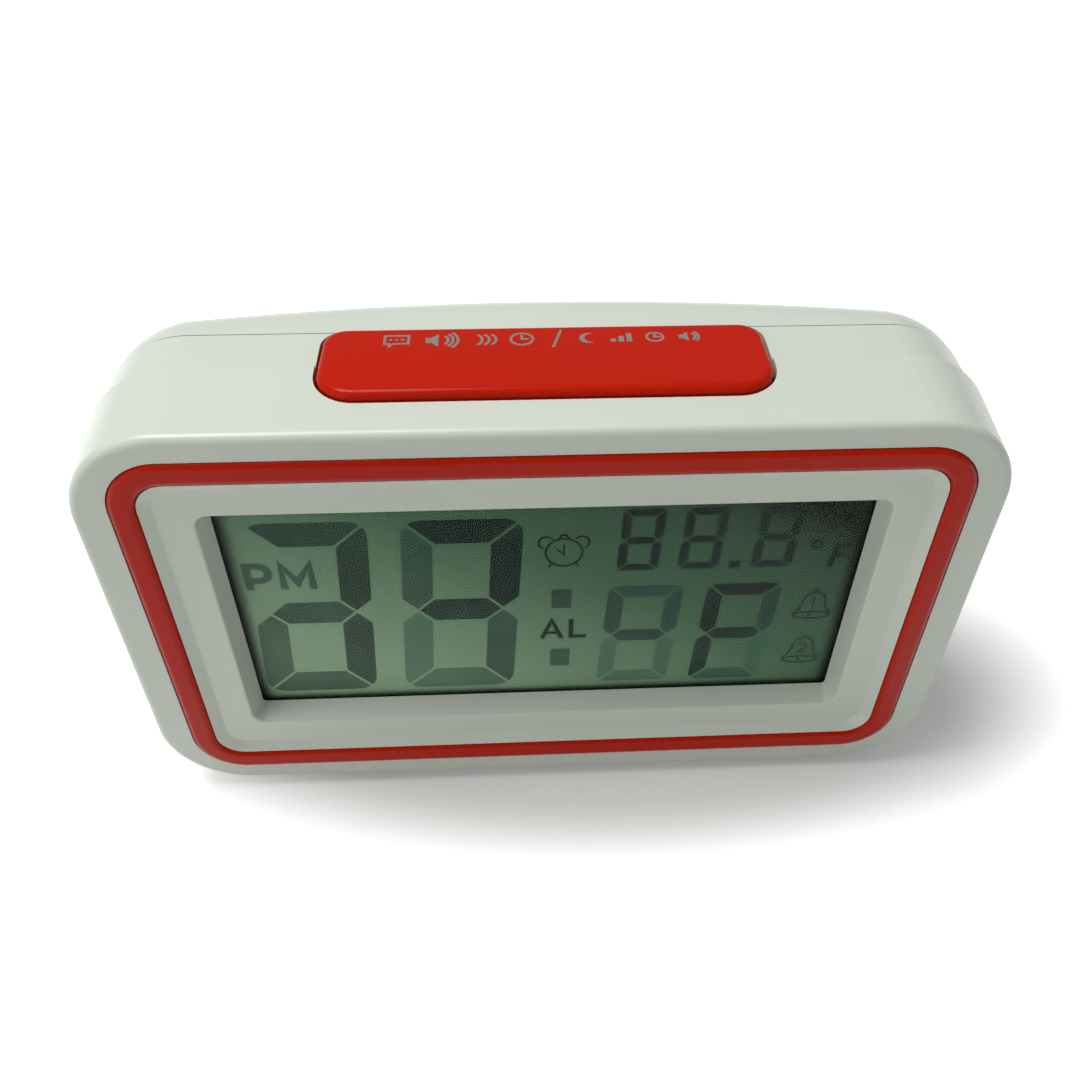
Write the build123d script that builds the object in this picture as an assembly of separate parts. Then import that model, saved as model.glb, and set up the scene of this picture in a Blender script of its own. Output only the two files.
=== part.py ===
"""A talking alarm clock: a flat-fronted plastic case with a red ring round its display.

The case is three shells stacked one behind the other: a front shell with the display, a
middle band and a bowed rear cover. X runs to the viewer's right, Y runs back from the face
and Z runs up. The origin is at the middle of the footprint, on the surface that the clock
stands on. Lengths are millimetres. Outlines are drawn in depth behind the face and in height
above the middle of the case, and the helpers below place them.
"""

from build123d import *
import math
import os

# The case as a whole
body_width = 115.6
body_height = 67.5
body_depth = 35.5
corner_radius = 13.0
back_bow_radius = 300.0
back_edge_radius = 11.0
front_edge_radius = 1.1
front_draft = 0.85
shell_wall = 2.0
overrun = 1.0
hair_gap = 0.1
same_plane = 0.03

# The seams between the three shells
front_shell_depth = 13.0
rear_seam_depth = 21.1
band_inset = 0.5
band_wall = 1.8
cover_inset = 0.65
seam_edge_radius = 0.2
seam_gap = 0.4
tongue_wall = 0.9
tongue_length = 1.5
tongue_clearance = 0.15

# The ring and the stepped frame round the display
front_wall = 3.2
side_border = 5.5
end_border = 4.35
ring_band = 3.3
ring_inner_corner = 3.9
ring_groove_depth = 1.6
ring_proud = 0.45
ring_crown_radius = 0.9
ring_gap = 0.06
peg_radius = 0.8
peg_clearance = 0.05
peg_head_radius = 1.3
peg_head_thickness = 0.6
peg_column_share = 0.62
step_inset = 1.45
step_depth = 1.05
step_corner = 2.8
flat_width = 4.35
flat_corner = 1.8
sight_inset = 1.05
sight_depth = 4.2
sight_corner = 0.6
sight_rim = 2.5
bezel_edge_radius = 0.35

# The display, from the clear window back to the board
window_thickness = 0.8
window_margin = 2.45
window_corner = 1.5
film_thickness = 0.2
film_inset = 0.3
glass_thickness = 1.1
glass_side_margin = 1.45
glass_end_margin = 1.15
glass_ledge = 2.1
reflector_thickness = 0.25
reflector_inset = 0.4
contact_strip_inset = 3.1
contact_strip_width = 1.9
contact_strip_gap = 0.1
holder_side_wall = 1.6
holder_end_wall = 1.3
holder_corner = 3.0
holder_fit = 0.15
holder_back_ledge = 3.5
board_front_depth = 9.8

# The main circuit board and its fixings
board_thickness = 1.2
board_side_room = 6.5
board_end_room = 11.0
board_corner = 1.0
board_screw_inset = 2.1
board_screw_drop = 8.0
board_post_radius = 2.0
small_screw_radius = 0.8
small_screw_length = 5.0
small_head_radius = 1.6
small_head_thickness = 1.1
screw_clearance = 0.03
screw_hole_clearance = 0.2
slot_width = 0.45
slot_depth = 0.5

# Parts soldered to the back of the main board
blob_radius = 6.5
blob_height = 1.6
blob_x = -13.0
blob_drop = 14.0
chip_length = 10.3
chip_width = 7.5
chip_thickness = 2.2
chip_standoff = 0.15
chip_x = 13.0
chip_drop = 12.0
chip_pin_count = 8
chip_pin_pitch = 1.27
chip_pin_width = 0.42
chip_pin_reach = 1.4
chip_pin_thickness = 0.25
crystal_radius = 1.0
crystal_length = 6.0
crystal_x = -28.0
crystal_drop = 11.0
crystal_lead_radius = 0.2
crystal_lead_length = 2.5
capacitor_radius = 2.5
capacitor_height = 6.5
capacitor_vent_depth = 0.3
capacitor_inset = 14.5
capacitor_rise = 6.5
capacitor_pitch = 7.0
resistor_length = 3.2
resistor_width = 1.6
resistor_height = 0.6
resistor_pitch = 3.0
resistor_count = 6
resistor_x = 2.0
resistor_z = -6.0
sensor_radius = 1.3
sensor_length = 3.4
sensor_lead_radius = 0.25
sensor_lead_length = 4.0
sensor_lead_pitch = 1.4
sensor_inset = 6.5
sensor_z = 4.0

# The long button on top
button_half_width = 27.6
button_front_depth = 6.0
button_rear_depth = 20.9
button_front_corner = 5.0
button_rear_corner = 3.0
button_proud = 0.7
button_fall = 0.55
button_edge_radius = 1.0
button_wall = 1.6
button_clearance = 0.35
button_travel = 1.2
flange_reach = 1.5
flange_thickness = 1.5
flange_corner = 2.0
pin_radius = 1.1
pin_x = 20.0
pin_reach = 1.4
plunger_radius = 2.0

# The small board under the button, with its switch and two return springs
key_shelf_drop = 8.75
key_shelf_thickness = 1.2
key_shelf_half_width = 36.5
key_shelf_front_depth = 8.6
key_shelf_rear_depth = 19.4
hanger_x = 33.5
hanger_depth = 10.7
hanger_radius = 2.2
hanger_screw_length = 4.2
switch_half_side = 3.0
switch_height = 2.6
switch_edge_radius = 0.3
stem_radius = 1.7
stem_clearance = 0.06
stem_stroke_room = 0.3
spring_wire_radius = 0.22
spring_mean_radius = 1.75
spring_turns = 6
spring_end_gap = 0.05
shelf_wire_radius = 0.35
shelf_wire_offset = 11.0
shelf_wire_pitch = 1.2
shelf_wire_drop = 5.5

# The rear keys
key_names = ["alarm_key", "mode_key", "hour_key", "minute_key"]
key_side_room = 19.0
key_pitch = 12.0
key_gap_share = 0.19
key_half_length = 3.6
key_half_width = 2.4
key_proud = 1.0
key_edge_radius = 0.5
key_clearance = 0.2
key_travel = 0.8
key_flange_reach = 1.0
key_flange_thickness = 1.0
key_flange_gap = 0.1
key_stem_radius = 1.5
key_board_back_room = 11.5
key_board_thickness = 1.2
key_board_end_room = 9.0
key_board_half_height = 5.5
key_board_post_inset = 2.4
key_board_post_radius = 2.0
tact_half_side = 3.0
tact_height = 3.2
tact_stem_radius = 1.5
tact_stem_reach = 1.2
ribbon_half_width = 3.6
ribbon_thickness = 0.8
ribbon_start_drop = 3.5
ribbon_end_drop = 3.0
ribbon_bend_share = 0.32

# The battery bay and its door
cell_radius = 5.25
cell_length = 43.7
cell_nub_radius = 1.9
cell_nub_length = 0.8
cell_edge_radius = 0.5
cell_pitch = 11.2
cell_back_room = 10.1
bay_side_share = 0.43
bay_low_share = 0.57
bay_floor = 1.2
bay_cell_gap = 0.25
bay_end_room = 2.9
bay_wall = 1.2
door_thickness = 1.8
door_margin = 1.45
door_corner = 2.0
door_gap = 0.2
door_ledge = 1.0
door_seat_gap = 0.1
door_tab_x = 13.0
door_tab_half_width = 3.0
door_tab_length = 1.6
door_tab_root = 2.2
door_tab_thickness = 1.0
door_tab_gap = 0.15
door_tab_room = 0.6
tongue_tab_half_width = 5.0
tongue_tab_height = 2.4
ridge_count = 3
ridge_pitch = 1.6
ridge_half_length = 4.0
ridge_width = 0.7
ridge_height = 0.35
contact_thickness = 0.4
contact_half_width = 4.4
contact_half_height = 4.4
contact_gap = 0.05
contact_tag_half_width = 1.0
contact_tag_reach = 0.8
cell_spring_wire_radius = 0.25
cell_spring_radius = 2.3
cell_spring_turns = 4

# The loudspeaker and its grille
speaker_side_share = 0.36
speaker_z = 2.0
speaker_radius = 14.0
speaker_back_room = 5.8
speaker_rim_thickness = 1.0
speaker_rim_width = 1.6
speaker_basket_depth = 3.8
speaker_basket_radius = 9.0
speaker_basket_wall = 0.6
speaker_magnet_radius = 6.5
speaker_magnet_height = 3.0
speaker_cone_thickness = 0.3
speaker_cone_drop = 1.8
speaker_dome_radius = 5.0
speaker_dome_height = 1.2
speaker_fit = 0.15
speaker_wall = 1.2
clamp_screw_count = 3
clamp_post_radius = 1.9
clamp_head_radius = 2.9
clamp_start_angle = 90.0
terminal_length = 3.0
terminal_width = 2.0
terminal_thickness = 0.4
grille_hole_radius = 0.8
grille_ring_pitch = 3.0
grille_ring_count = 3
grille_first_count = 6

# Case screws, feet and loose wires
case_screw_inset = 8.1
case_post_radius = 2.8
case_screw_radius = 1.05
case_screw_length = 9.0
case_head_radius = 1.9
case_head_thickness = 1.5
case_head_clearance = 0.2
case_seat_thickness = 3.0
foot_radius = 3.4
foot_thickness = 1.6
foot_proud = 0.8
foot_fit = 0.05
foot_boss_wall = 1.1
front_foot_inset = 17.0
front_foot_depth = 6.6
rear_foot_inset = 27.0
rear_foot_setback = 5.5
loose_wire_radius = 0.35
loose_wire_run_share = 0.32
speaker_wire_shift = 3.0
speaker_wire_fall = 5.0
battery_wire_shift = 2.5

# Sizes and places of the face and the display, worked out from the sizes above
half_width = body_width / 2
half_height = body_height / 2
mid_height = foot_proud + half_height
front_y = ring_proud - (ring_proud + body_depth + key_proud) / 2
ring_inner_half_width = half_width - side_border - ring_band
ring_inner_half_height = half_height - end_border - ring_band
ring_outer_half_width = ring_inner_half_width + ring_band
ring_outer_half_height = ring_inner_half_height + ring_band
ring_outer_corner = ring_inner_corner + ring_band
flat_outer_half_width = ring_inner_half_width - step_inset
flat_outer_half_height = ring_inner_half_height - step_inset
flat_inner_half_width = flat_outer_half_width - flat_width
flat_inner_half_height = flat_outer_half_height - flat_width
sight_half_width = flat_inner_half_width - sight_inset
sight_half_height = flat_inner_half_height - sight_inset
window_half_width = sight_half_width + window_margin
window_half_height = sight_half_height + window_margin
glass_half_width = sight_half_width + glass_side_margin
glass_rear_half_height = sight_half_height + glass_end_margin
glass_front_half_height = glass_rear_half_height + glass_ledge
film_half_width = glass_half_width - film_inset
film_half_height = glass_rear_half_height - film_inset
reflector_half_width = glass_half_width - reflector_inset
reflector_half_height = glass_rear_half_height - reflector_inset
contact_strip_half_length = glass_half_width - contact_strip_inset
holder_half_width = window_half_width + holder_side_wall
holder_half_height = glass_front_half_height + holder_end_wall
holder_back_half_width = glass_half_width - holder_back_ledge
holder_back_half_height = glass_rear_half_height - holder_back_ledge
window_rear_depth = sight_depth + window_thickness
film_front_depth = window_rear_depth + hair_gap
glass_front_depth = film_front_depth + film_thickness
glass_middle_depth = glass_front_depth + glass_thickness
glass_rear_depth = glass_middle_depth + glass_thickness
reflector_rear_depth = glass_rear_depth + reflector_thickness

# The main board and its parts
board_rear_depth = board_front_depth + board_thickness
board_half_width = half_width - board_side_room
board_half_height = half_height - board_end_room
board_screw_x = board_half_width - board_screw_inset
board_screw_height = board_half_height - board_screw_drop
blob_z = board_half_height - blob_drop
chip_z = board_half_height - chip_drop
crystal_z = board_half_height - crystal_drop
capacitor_x = board_half_width - capacitor_inset
capacitor_z = capacitor_rise - board_half_height
sensor_x = board_half_width - sensor_inset

# The button and what stands under it
flange_top = half_height - band_inset - band_wall - hair_gap
flange_bottom = flange_top - flange_thickness
button_top = half_height + button_proud
button_underside = button_top - button_wall
key_shelf_height = half_height - key_shelf_drop
shelf_top = key_shelf_height + key_shelf_thickness
pin_tip_height = key_shelf_height - pin_reach
switch_top = shelf_top + switch_height
stem_top = switch_top + button_travel + stem_stroke_room
switch_depth = (button_front_depth + button_rear_depth) / 2

# The battery bay, the speaker and the keys share the room behind the back
rear_half_width = half_width - cover_inset - shell_wall
rear_low = cover_inset + shell_wall - half_height
bay_half_length = (cell_length + cell_nub_length) / 2 + bay_end_room
door_half_width = bay_half_length + door_margin
door_half_height = cell_pitch / 2 + cell_radius + door_margin
bay_half_height = door_half_height - door_ledge
cell_depth = body_depth - cell_back_room
bay_floor_depth = cell_depth - cell_radius - bay_cell_gap
tray_half_width = door_half_width + bay_wall
tray_half_height = door_half_height + bay_wall
speaker_reach = speaker_radius + speaker_fit + speaker_wall
free_width = 2 * (rear_half_width - tray_half_width - speaker_reach)
free_height = key_shelf_height - rear_low - 2 * (tray_half_height + key_board_half_height)
bay_x = bay_side_share * free_width + tray_half_width - rear_half_width
bay_z = rear_low + bay_low_share * free_height + tray_half_height
speaker_x = rear_half_width - speaker_side_share * free_width - speaker_reach
speaker_front_depth = body_depth - speaker_back_room
speaker_back_depth = speaker_front_depth - speaker_basket_depth
magnet_front_depth = speaker_back_depth - speaker_magnet_height
clamp_circle_radius = speaker_reach + clamp_post_radius / 2
key_height = bay_z + tray_half_height + key_gap_share * free_height + key_board_half_height
key_places = [key_side_room - half_width + index * key_pitch for index in range(len(key_names))]
key_board_x = sum(key_places) / len(key_places)
key_board_half_width = (key_places[-1] - key_places[0]) / 2 + key_board_end_room
key_board_post_reach = key_board_half_width - key_board_post_inset
key_board_rear_depth = body_depth - key_board_back_room
key_board_front_depth = key_board_rear_depth - key_board_thickness
tact_rear_depth = key_board_rear_depth + tact_height
tact_stem_depth = tact_rear_depth + tact_stem_reach
shelf_wire_x = key_board_x + shelf_wire_offset
ribbon_start_height = board_half_height - ribbon_start_drop
ribbon_end_height = key_height - ribbon_end_drop
ribbon_bend_radius = ribbon_bend_share * (ribbon_start_height - ribbon_end_height)

# The case screws and the feet
case_screw_x = half_width - case_screw_inset
case_screw_z = half_height - case_screw_inset
front_foot_x = half_width - front_foot_inset
rear_foot_x = half_width - rear_foot_inset
rear_foot_depth = rear_seam_depth + rear_foot_setback


def across(outline, near, far):
    """Extrude an outline in x and height between two depths behind the face."""
    plane = Plane(origin=(0, front_y + far, mid_height), x_dir=(1, 0, 0), z_dir=(0, -1, 0))
    return extrude(plane * outline, far - near)


def drafted(outline, near, far, draft):
    """Extrude an outline forwards from the far depth, drawn in all round by a draft at the near one."""
    plane = Plane(origin=(0, front_y + far, mid_height), x_dir=(1, 0, 0), z_dir=(0, -1, 0))
    slope = math.degrees(math.atan(draft / (far - near)))
    return extrude(plane * outline, far - near, taper=slope)


def upright(outline, low, high):
    """Extrude an outline in x and depth between two heights from the case's middle."""
    plane = Plane(origin=(0, front_y, mid_height + low), x_dir=(1, 0, 0), z_dir=(0, 0, 1))
    return extrude(plane * outline, high - low)


def sideways(outline, left, right):
    """Extrude an outline in depth and height between two places in x."""
    plane = Plane(origin=(left, front_y, mid_height), x_dir=(0, 1, 0), z_dir=(1, 0, 0))
    return extrude(plane * outline, right - left)


def place(x, behind, height):
    """Give the point at an x, a depth behind the face and a height from the middle."""
    return (x, front_y + behind, mid_height + height)


def panel(half_x, half_z, radius):
    """Draw a rounded rectangle from its half sizes."""
    return RectangleRounded(2 * half_x, 2 * half_z, radius)


def body_outline(inset):
    """Draw the case's outline, drawn in on all sides."""
    return panel(half_width - inset, half_height - inset, corner_radius - inset)


def body_ring(outer_inset, inner_inset, near, far):
    """Make a ring that follows the case's outline between two insets."""
    return across(body_outline(outer_inset), near, far) - across(body_outline(inner_inset), near, far)


def span(left, right, near, far):
    """Draw a plain rectangle from its limits."""
    centre = Pos((left + right) / 2, (near + far) / 2)
    return centre * Rectangle(right - left, far - near)


def rim_edges(shape, behind):
    """Pick the edges that lie wholly at or behind a depth."""
    return [edge for edge in shape.edges() if edge.bounding_box().min.Y > front_y + behind]


def face_edges(shape, behind):
    """Pick the edges that lie in the plane at a depth."""
    level = front_y + behind
    flat = []
    for edge in shape.edges():
        box = edge.bounding_box()
        if abs(box.min.Y - level) < same_plane and abs(box.max.Y - level) < same_plane:
            flat.append(edge)
    return flat


def rear_surface(x):
    """Give the depth of the bowed back at an x."""
    return body_depth - back_bow_radius + math.sqrt(back_bow_radius**2 - x**2)


def rear_block(inset):
    """Make the bowed, round-edged rear body, drawn in by an inset on every side."""
    prism = across(body_outline(inset), front_shell_depth, body_depth + overrun)
    bow_radius = back_bow_radius - inset + cover_inset
    bow_outline = Pos(0, body_depth - back_bow_radius) * Circle(bow_radius)
    block = prism & upright(bow_outline, -body_height, body_height)
    rims = rim_edges(block, front_shell_depth + overrun)
    return fillet(rims, back_edge_radius - inset)


def corner_places(x, z):
    """Give four places, one in each quarter of the face."""
    return [(x, z), (-x, z), (x, -z), (-x, -z)]


def button_outline(grow):
    """Draw the long button from above, grown by a clearance."""
    near = button_front_depth - grow
    far = button_rear_depth + grow
    outline = span(-button_half_width - grow, button_half_width + grow, near, far)
    rows = outline.vertices().group_by(Axis.Y)
    outline = fillet(rows[0], button_front_corner + grow)
    rows = outline.vertices().group_by(Axis.Y)
    return fillet(rows[-1], button_rear_corner + grow)


def button_notch():
    """Make the cutter for the opening that the long button stands in."""
    return upright(button_outline(button_clearance), flange_bottom, half_height + overrun)


def button_bay():
    """Make the cutter that keeps the locating tongues clear of the button's flange."""
    reach = hanger_x + hanger_radius + button_clearance
    bay = span(-reach, reach, front_wall, rear_seam_depth)
    return upright(bay, key_shelf_height, half_height - shell_wall)


def foot_recess(x, behind):
    """Make the cutter for one rubber foot."""
    disc = Pos(x, behind) * Circle(foot_radius + foot_fit)
    return upright(disc, -half_height - overrun, -half_height + foot_thickness - foot_proud)


def display_cutter():
    """Make the stepped opening in the face, from the ring down to the window."""
    rim = across(panel(ring_inner_half_width, ring_inner_half_height, ring_inner_corner), -overrun, 0)
    outlines = [
        (0, panel(ring_inner_half_width, ring_inner_half_height, ring_inner_corner)),
        (step_depth, panel(flat_outer_half_width, flat_outer_half_height, step_corner)),
        (step_depth, panel(flat_inner_half_width, flat_inner_half_height, flat_corner)),
        (sight_depth, panel(sight_half_width, sight_half_height, sight_corner)),
    ]
    faces = []
    for behind, outline in outlines:
        plane = Plane(origin=(0, front_y + behind, mid_height), x_dir=(1, 0, 0), z_dir=(0, -1, 0))
        faces.append(plane * outline)
    step = loft([faces[0], faces[1]], ruled=True)
    sight = loft([faces[2], faces[3]], ruled=True)
    sight_outline = panel(sight_half_width, sight_half_height, sight_corner)
    through = across(sight_outline, step_depth, sight_depth + overrun)
    cutter = rim + step + sight + through
    return fillet(face_edges(cutter, step_depth), bezel_edge_radius)


def ring_peg_places():
    """Give the places of the ring's fixing pegs, along the middle of its band."""
    x = ring_inner_half_width + ring_band / 2
    z = ring_inner_half_height + ring_band / 2
    column = ring_inner_half_width * peg_column_share
    return [(column, z), (-column, z), (column, -z), (-column, -z), (x, 0), (-x, 0)]


def front_shell():
    """Make the white front: border, stepped display frame, side walls and posts."""
    outer = drafted(body_outline(0), 0, front_shell_depth, front_draft)
    outer = fillet(face_edges(outer, 0), front_edge_radius)
    outer = fillet(face_edges(outer, front_shell_depth), seam_edge_radius)
    shell = outer - across(body_outline(shell_wall), front_wall, front_shell_depth + overrun)
    rim = panel(sight_half_width + sight_rim, sight_half_height + sight_rim, sight_corner + sight_rim)
    shell += across(rim, front_wall - hair_gap, sight_depth)
    for x, z in corner_places(board_screw_x, board_screw_height):
        shell += across(Pos(x, z) * Circle(board_post_radius), front_wall - hair_gap, board_front_depth)
    for x, z in corner_places(case_screw_x, case_screw_z):
        shell += across(Pos(x, z) * Circle(case_post_radius), front_wall - hair_gap, front_shell_depth)
    for x in (hanger_x, -hanger_x):
        post = Pos(x, hanger_depth) * Circle(hanger_radius)
        shell += upright(post, shelf_top, half_height - shell_wall + hair_gap)
    shell -= display_cutter()
    groove = panel(
        ring_outer_half_width + ring_gap, ring_outer_half_height + ring_gap, ring_outer_corner + ring_gap
    )
    island = panel(
        ring_inner_half_width - ring_gap, ring_inner_half_height - ring_gap, ring_inner_corner - ring_gap
    )
    channel = across(groove, -overrun, ring_groove_depth)
    channel -= across(island, -2 * overrun, ring_groove_depth + overrun)
    shell -= channel
    for x, z in ring_peg_places():
        shell -= across(Pos(x, z) * Circle(peg_radius + peg_clearance), 0, front_wall + overrun)
    for x, z in corner_places(board_screw_x, board_screw_height):
        hole = Pos(x, z) * Circle(small_screw_radius + screw_clearance)
        shell -= across(hole, board_rear_depth - small_screw_length - hair_gap, board_front_depth + overrun)
    for x, z in corner_places(case_screw_x, case_screw_z):
        hole = Pos(x, z) * Circle(case_screw_radius + screw_clearance)
        tip = front_shell_depth + case_seat_thickness - case_screw_length
        shell -= across(hole, tip - hair_gap, front_shell_depth + overrun)
    for x in (hanger_x, -hanger_x):
        hole = Pos(x, hanger_depth) * Circle(small_screw_radius + screw_clearance)
        shell -= upright(hole, shelf_top - overrun, key_shelf_height + hanger_screw_length + hair_gap)
    for x in (front_foot_x, -front_foot_x):
        shell -= foot_recess(x, front_foot_depth)
    return shell - button_notch()


def accent_ring():
    """Make the red ring, crowned in front, with headed pegs through the face."""
    outer = panel(ring_outer_half_width, ring_outer_half_height, ring_outer_corner)
    inner = panel(ring_inner_half_width, ring_inner_half_height, ring_inner_corner)
    ring = across(outer, -ring_proud, ring_groove_depth) - across(inner, -ring_proud, ring_groove_depth)
    ring = fillet(face_edges(ring, -ring_proud), ring_crown_radius)
    for x, z in ring_peg_places():
        ring += across(Pos(x, z) * Circle(peg_radius), ring_groove_depth - hair_gap, front_wall + hair_gap)
        ring += across(Pos(x, z) * Circle(peg_head_radius), front_wall, front_wall + peg_head_thickness)
    return ring


def middle_band():
    """Make the band between the front shell and the rear cover, with its locating tongue."""
    near = front_shell_depth + hair_gap / 2
    far = rear_seam_depth - seam_gap
    inner = band_inset + band_wall
    slice_box = across(body_outline(0), near, far)
    band = (rear_block(band_inset) & slice_box) - across(body_outline(inner), near - overrun, far + overrun)
    tongue_outer = shell_wall + tongue_clearance
    tongue_inner = tongue_outer + tongue_wall
    tongue = body_ring(tongue_outer, tongue_inner, front_shell_depth - tongue_length, near + tongue_length)
    tongue += body_ring(inner - hair_gap, tongue_inner, near, near + tongue_length)
    return band + (tongue - button_bay()) - button_notch()


def case_tube(x, z):
    """Make one long screw tube of the rear cover, trimmed to the cover's outer skin."""
    tube = across(Pos(x, z) * Circle(case_post_radius), front_shell_depth + hair_gap, body_depth)
    return tube & rear_block(cover_inset)


def cover_skin(outer_inset, inner_inset):
    """Make the part of the bowed back that lies between two insets."""
    return rear_block(outer_inset) - rear_block(inner_inset)


def door_outline(grow):
    """Draw the battery door with its thumb tongue, grown by a clearance."""
    body = Pos(bay_x, bay_z) * panel(door_half_width + grow, door_half_height + grow, door_corner + grow)
    top = bay_z + door_half_height + tongue_tab_height + grow
    reach = tongue_tab_half_width + grow
    return body + span(bay_x - reach, bay_x + reach, bay_z, top)


def bay_tray():
    """Make the open box that holds the cells, trimmed to the seat of the door."""
    block = Pos(bay_x, bay_z) * panel(tray_half_width, tray_half_height, door_corner)
    outer = across(block, bay_floor_depth - bay_floor, body_depth)
    room = Pos(bay_x, bay_z) * panel(bay_half_length, bay_half_height, door_corner / 2)
    tray = outer - across(room, bay_floor_depth, body_depth + overrun)
    return tray & rear_block(cover_inset + door_thickness + door_seat_gap)


def door_tab_pockets():
    """Make the cutters in which the door's two lower tabs hook and swing."""
    pockets = Part()
    for side in (-1, 1):
        x = bay_x + side * door_tab_x
        left = x - door_tab_half_width - door_gap
        right = x + door_tab_half_width + door_gap
        edge = bay_z - door_half_height - door_gap
        back = rear_surface(x) - shell_wall
        front = back - door_tab_gap - door_tab_thickness - 2 * door_tab_room
        pockets += across(span(left, right, edge - door_tab_length, edge + door_tab_gap), front, back)
        pockets += across(span(left, right, edge, edge + 2 * door_gap + door_tab_root), front, body_depth)
    return pockets


def speaker_seat():
    """Make the round seat, locating wall and clamp posts for the loudspeaker."""
    wall_inner = speaker_radius + speaker_fit
    spot = Pos(speaker_x, speaker_z)
    clamp_depth = speaker_front_depth - speaker_rim_thickness
    seat = across(spot * Circle(speaker_reach), clamp_depth, body_depth)
    seat -= across(spot * Circle(wall_inner), 0, speaker_front_depth)
    seat -= across(spot * Circle(speaker_radius - speaker_rim_width), 0, body_depth)
    for x, z in clamp_places():
        seat += across(Pos(x, z) * Circle(clamp_post_radius), clamp_depth, body_depth)
    seat -= across(spot * Circle(wall_inner), 0, speaker_front_depth)
    return seat & rear_block(cover_inset + shell_wall / 2)


def clamp_places():
    """Give the places of the speaker's clamp screws, evenly round it."""
    places = []
    for index in range(clamp_screw_count):
        angle = math.radians(clamp_start_angle + index * 360 / clamp_screw_count)
        x = speaker_x + clamp_circle_radius * math.cos(angle)
        z = speaker_z + clamp_circle_radius * math.sin(angle)
        places.append((x, z))
    return places


def grille_holes():
    """Make the cutters of the sound holes: one in the middle and rings round it."""
    sketch = Pos(speaker_x, speaker_z) * Circle(grille_hole_radius)
    for ring in range(1, grille_ring_count + 1):
        count = grille_first_count * ring
        for index in range(count):
            angle = 2 * math.pi * index / count
            x = speaker_x + ring * grille_ring_pitch * math.cos(angle)
            z = speaker_z + ring * grille_ring_pitch * math.sin(angle)
            sketch += Pos(x, z) * Circle(grille_hole_radius)
    return across(sketch, speaker_front_depth, body_depth + overrun)


def key_board_post_places():
    """Give the places of the two posts that carry the key board."""
    reach = key_board_post_reach
    return [(key_board_x - reach, key_height), (key_board_x + reach, key_height)]


def rear_cover():
    """Make the bowed white back with its tubes, battery bay, speaker seat and openings."""
    slice_box = across(body_outline(0), rear_seam_depth, body_depth + overrun)
    cover = cover_skin(cover_inset, cover_inset + shell_wall) & slice_box
    tongue_outer = band_inset + band_wall + tongue_clearance
    tongue_inner = tongue_outer + tongue_wall
    tongue_tip = rear_seam_depth - tongue_length
    tongue = body_ring(tongue_outer, tongue_inner, tongue_tip, rear_seam_depth + tongue_length)
    root = body_ring(shell_wall, tongue_inner, rear_seam_depth, rear_seam_depth + tongue_length)
    tongue += root & rear_block(cover_inset + shell_wall / 2)
    cover += (tongue & rear_block(cover_inset)) - button_bay()
    for x, z in corner_places(case_screw_x, case_screw_z):
        cover += case_tube(x, z)
    cover -= across(door_outline(door_gap), bay_floor_depth, body_depth + overrun)
    cover += bay_tray()
    room = Pos(bay_x, bay_z) * panel(bay_half_length, bay_half_height, door_corner / 2)
    cover -= across(room, bay_floor_depth, body_depth + overrun)
    cover -= door_tab_pockets()
    for z in contact_tag_places():
        cover -= contact_tag(z, contact_gap)
    cover += speaker_seat()
    cover -= grille_holes()
    for x, z in key_board_post_places():
        post = across(Pos(x, z) * Circle(key_board_post_radius), key_board_rear_depth, body_depth)
        cover += post & rear_block(cover_inset + shell_wall / 2)
    for x in (rear_foot_x, -rear_foot_x):
        boss = Pos(x, rear_foot_depth) * Circle(foot_radius + foot_boss_wall)
        cover += upright(boss, -half_height, -half_height + foot_thickness + shell_wall)
    for x, z in corner_places(case_screw_x, case_screw_z):
        bore = Pos(x, z) * Circle(case_screw_radius + screw_hole_clearance)
        cover -= across(bore, front_shell_depth, body_depth)
        well = Pos(x, z) * Circle(case_head_radius + case_head_clearance)
        cover -= across(well, front_shell_depth + case_seat_thickness, body_depth + overrun)
    for x, z in key_board_post_places():
        hole = Pos(x, z) * Circle(small_screw_radius + screw_clearance)
        tip = key_board_front_depth + small_screw_length + hair_gap
        cover -= across(hole, key_board_rear_depth - overrun, tip)
    for x, z in clamp_places():
        hole = Pos(x, z) * Circle(small_screw_radius + screw_clearance)
        clamp_depth = speaker_front_depth - speaker_rim_thickness
        cover -= across(hole, clamp_depth - overrun, clamp_depth + small_screw_length / 2 + hair_gap)
    for x in key_places:
        opening = Pos(x, key_height) * SlotCenterToCenter(*key_slot_sizes(key_clearance))
        cover -= across(opening, tact_rear_depth, body_depth + overrun)
    for x in (rear_foot_x, -rear_foot_x):
        cover -= foot_recess(x, rear_foot_depth)
    return cover - button_notch()


def key_slot_sizes(grow):
    """Give a key's slot outline as its centre distance and its width."""
    return 2 * (key_half_length - key_half_width), 2 * (key_half_width + grow)


def rear_key(x):
    """Make one rear key: cap, flange and stem, with its cap proud of the bowed back."""
    top = rear_surface(x) + key_proud
    inner_reach = abs(x) + key_half_length + key_flange_reach
    flange_rear = rear_surface(inner_reach) - shell_wall - key_flange_gap
    spot = Pos(x, key_height)
    key = across(spot * SlotCenterToCenter(*key_slot_sizes(0)), flange_rear - key_flange_thickness, top)
    key = fillet(face_edges(key, top), key_edge_radius)
    flange = spot * SlotCenterToCenter(*key_slot_sizes(key_flange_reach))
    key += across(flange, flange_rear - key_flange_thickness, flange_rear)
    key += across(spot * Circle(key_stem_radius), tact_stem_depth, flange_rear)
    return key


def display_window():
    """Make the clear window behind the face opening."""
    outline = panel(window_half_width, window_half_height, window_corner)
    return across(outline, sight_depth, window_rear_depth)


def display_layer(half_x, half_z, near, far):
    """Make one plain layer of the display."""
    return across(Rectangle(2 * half_x, 2 * half_z), near, far)


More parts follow.
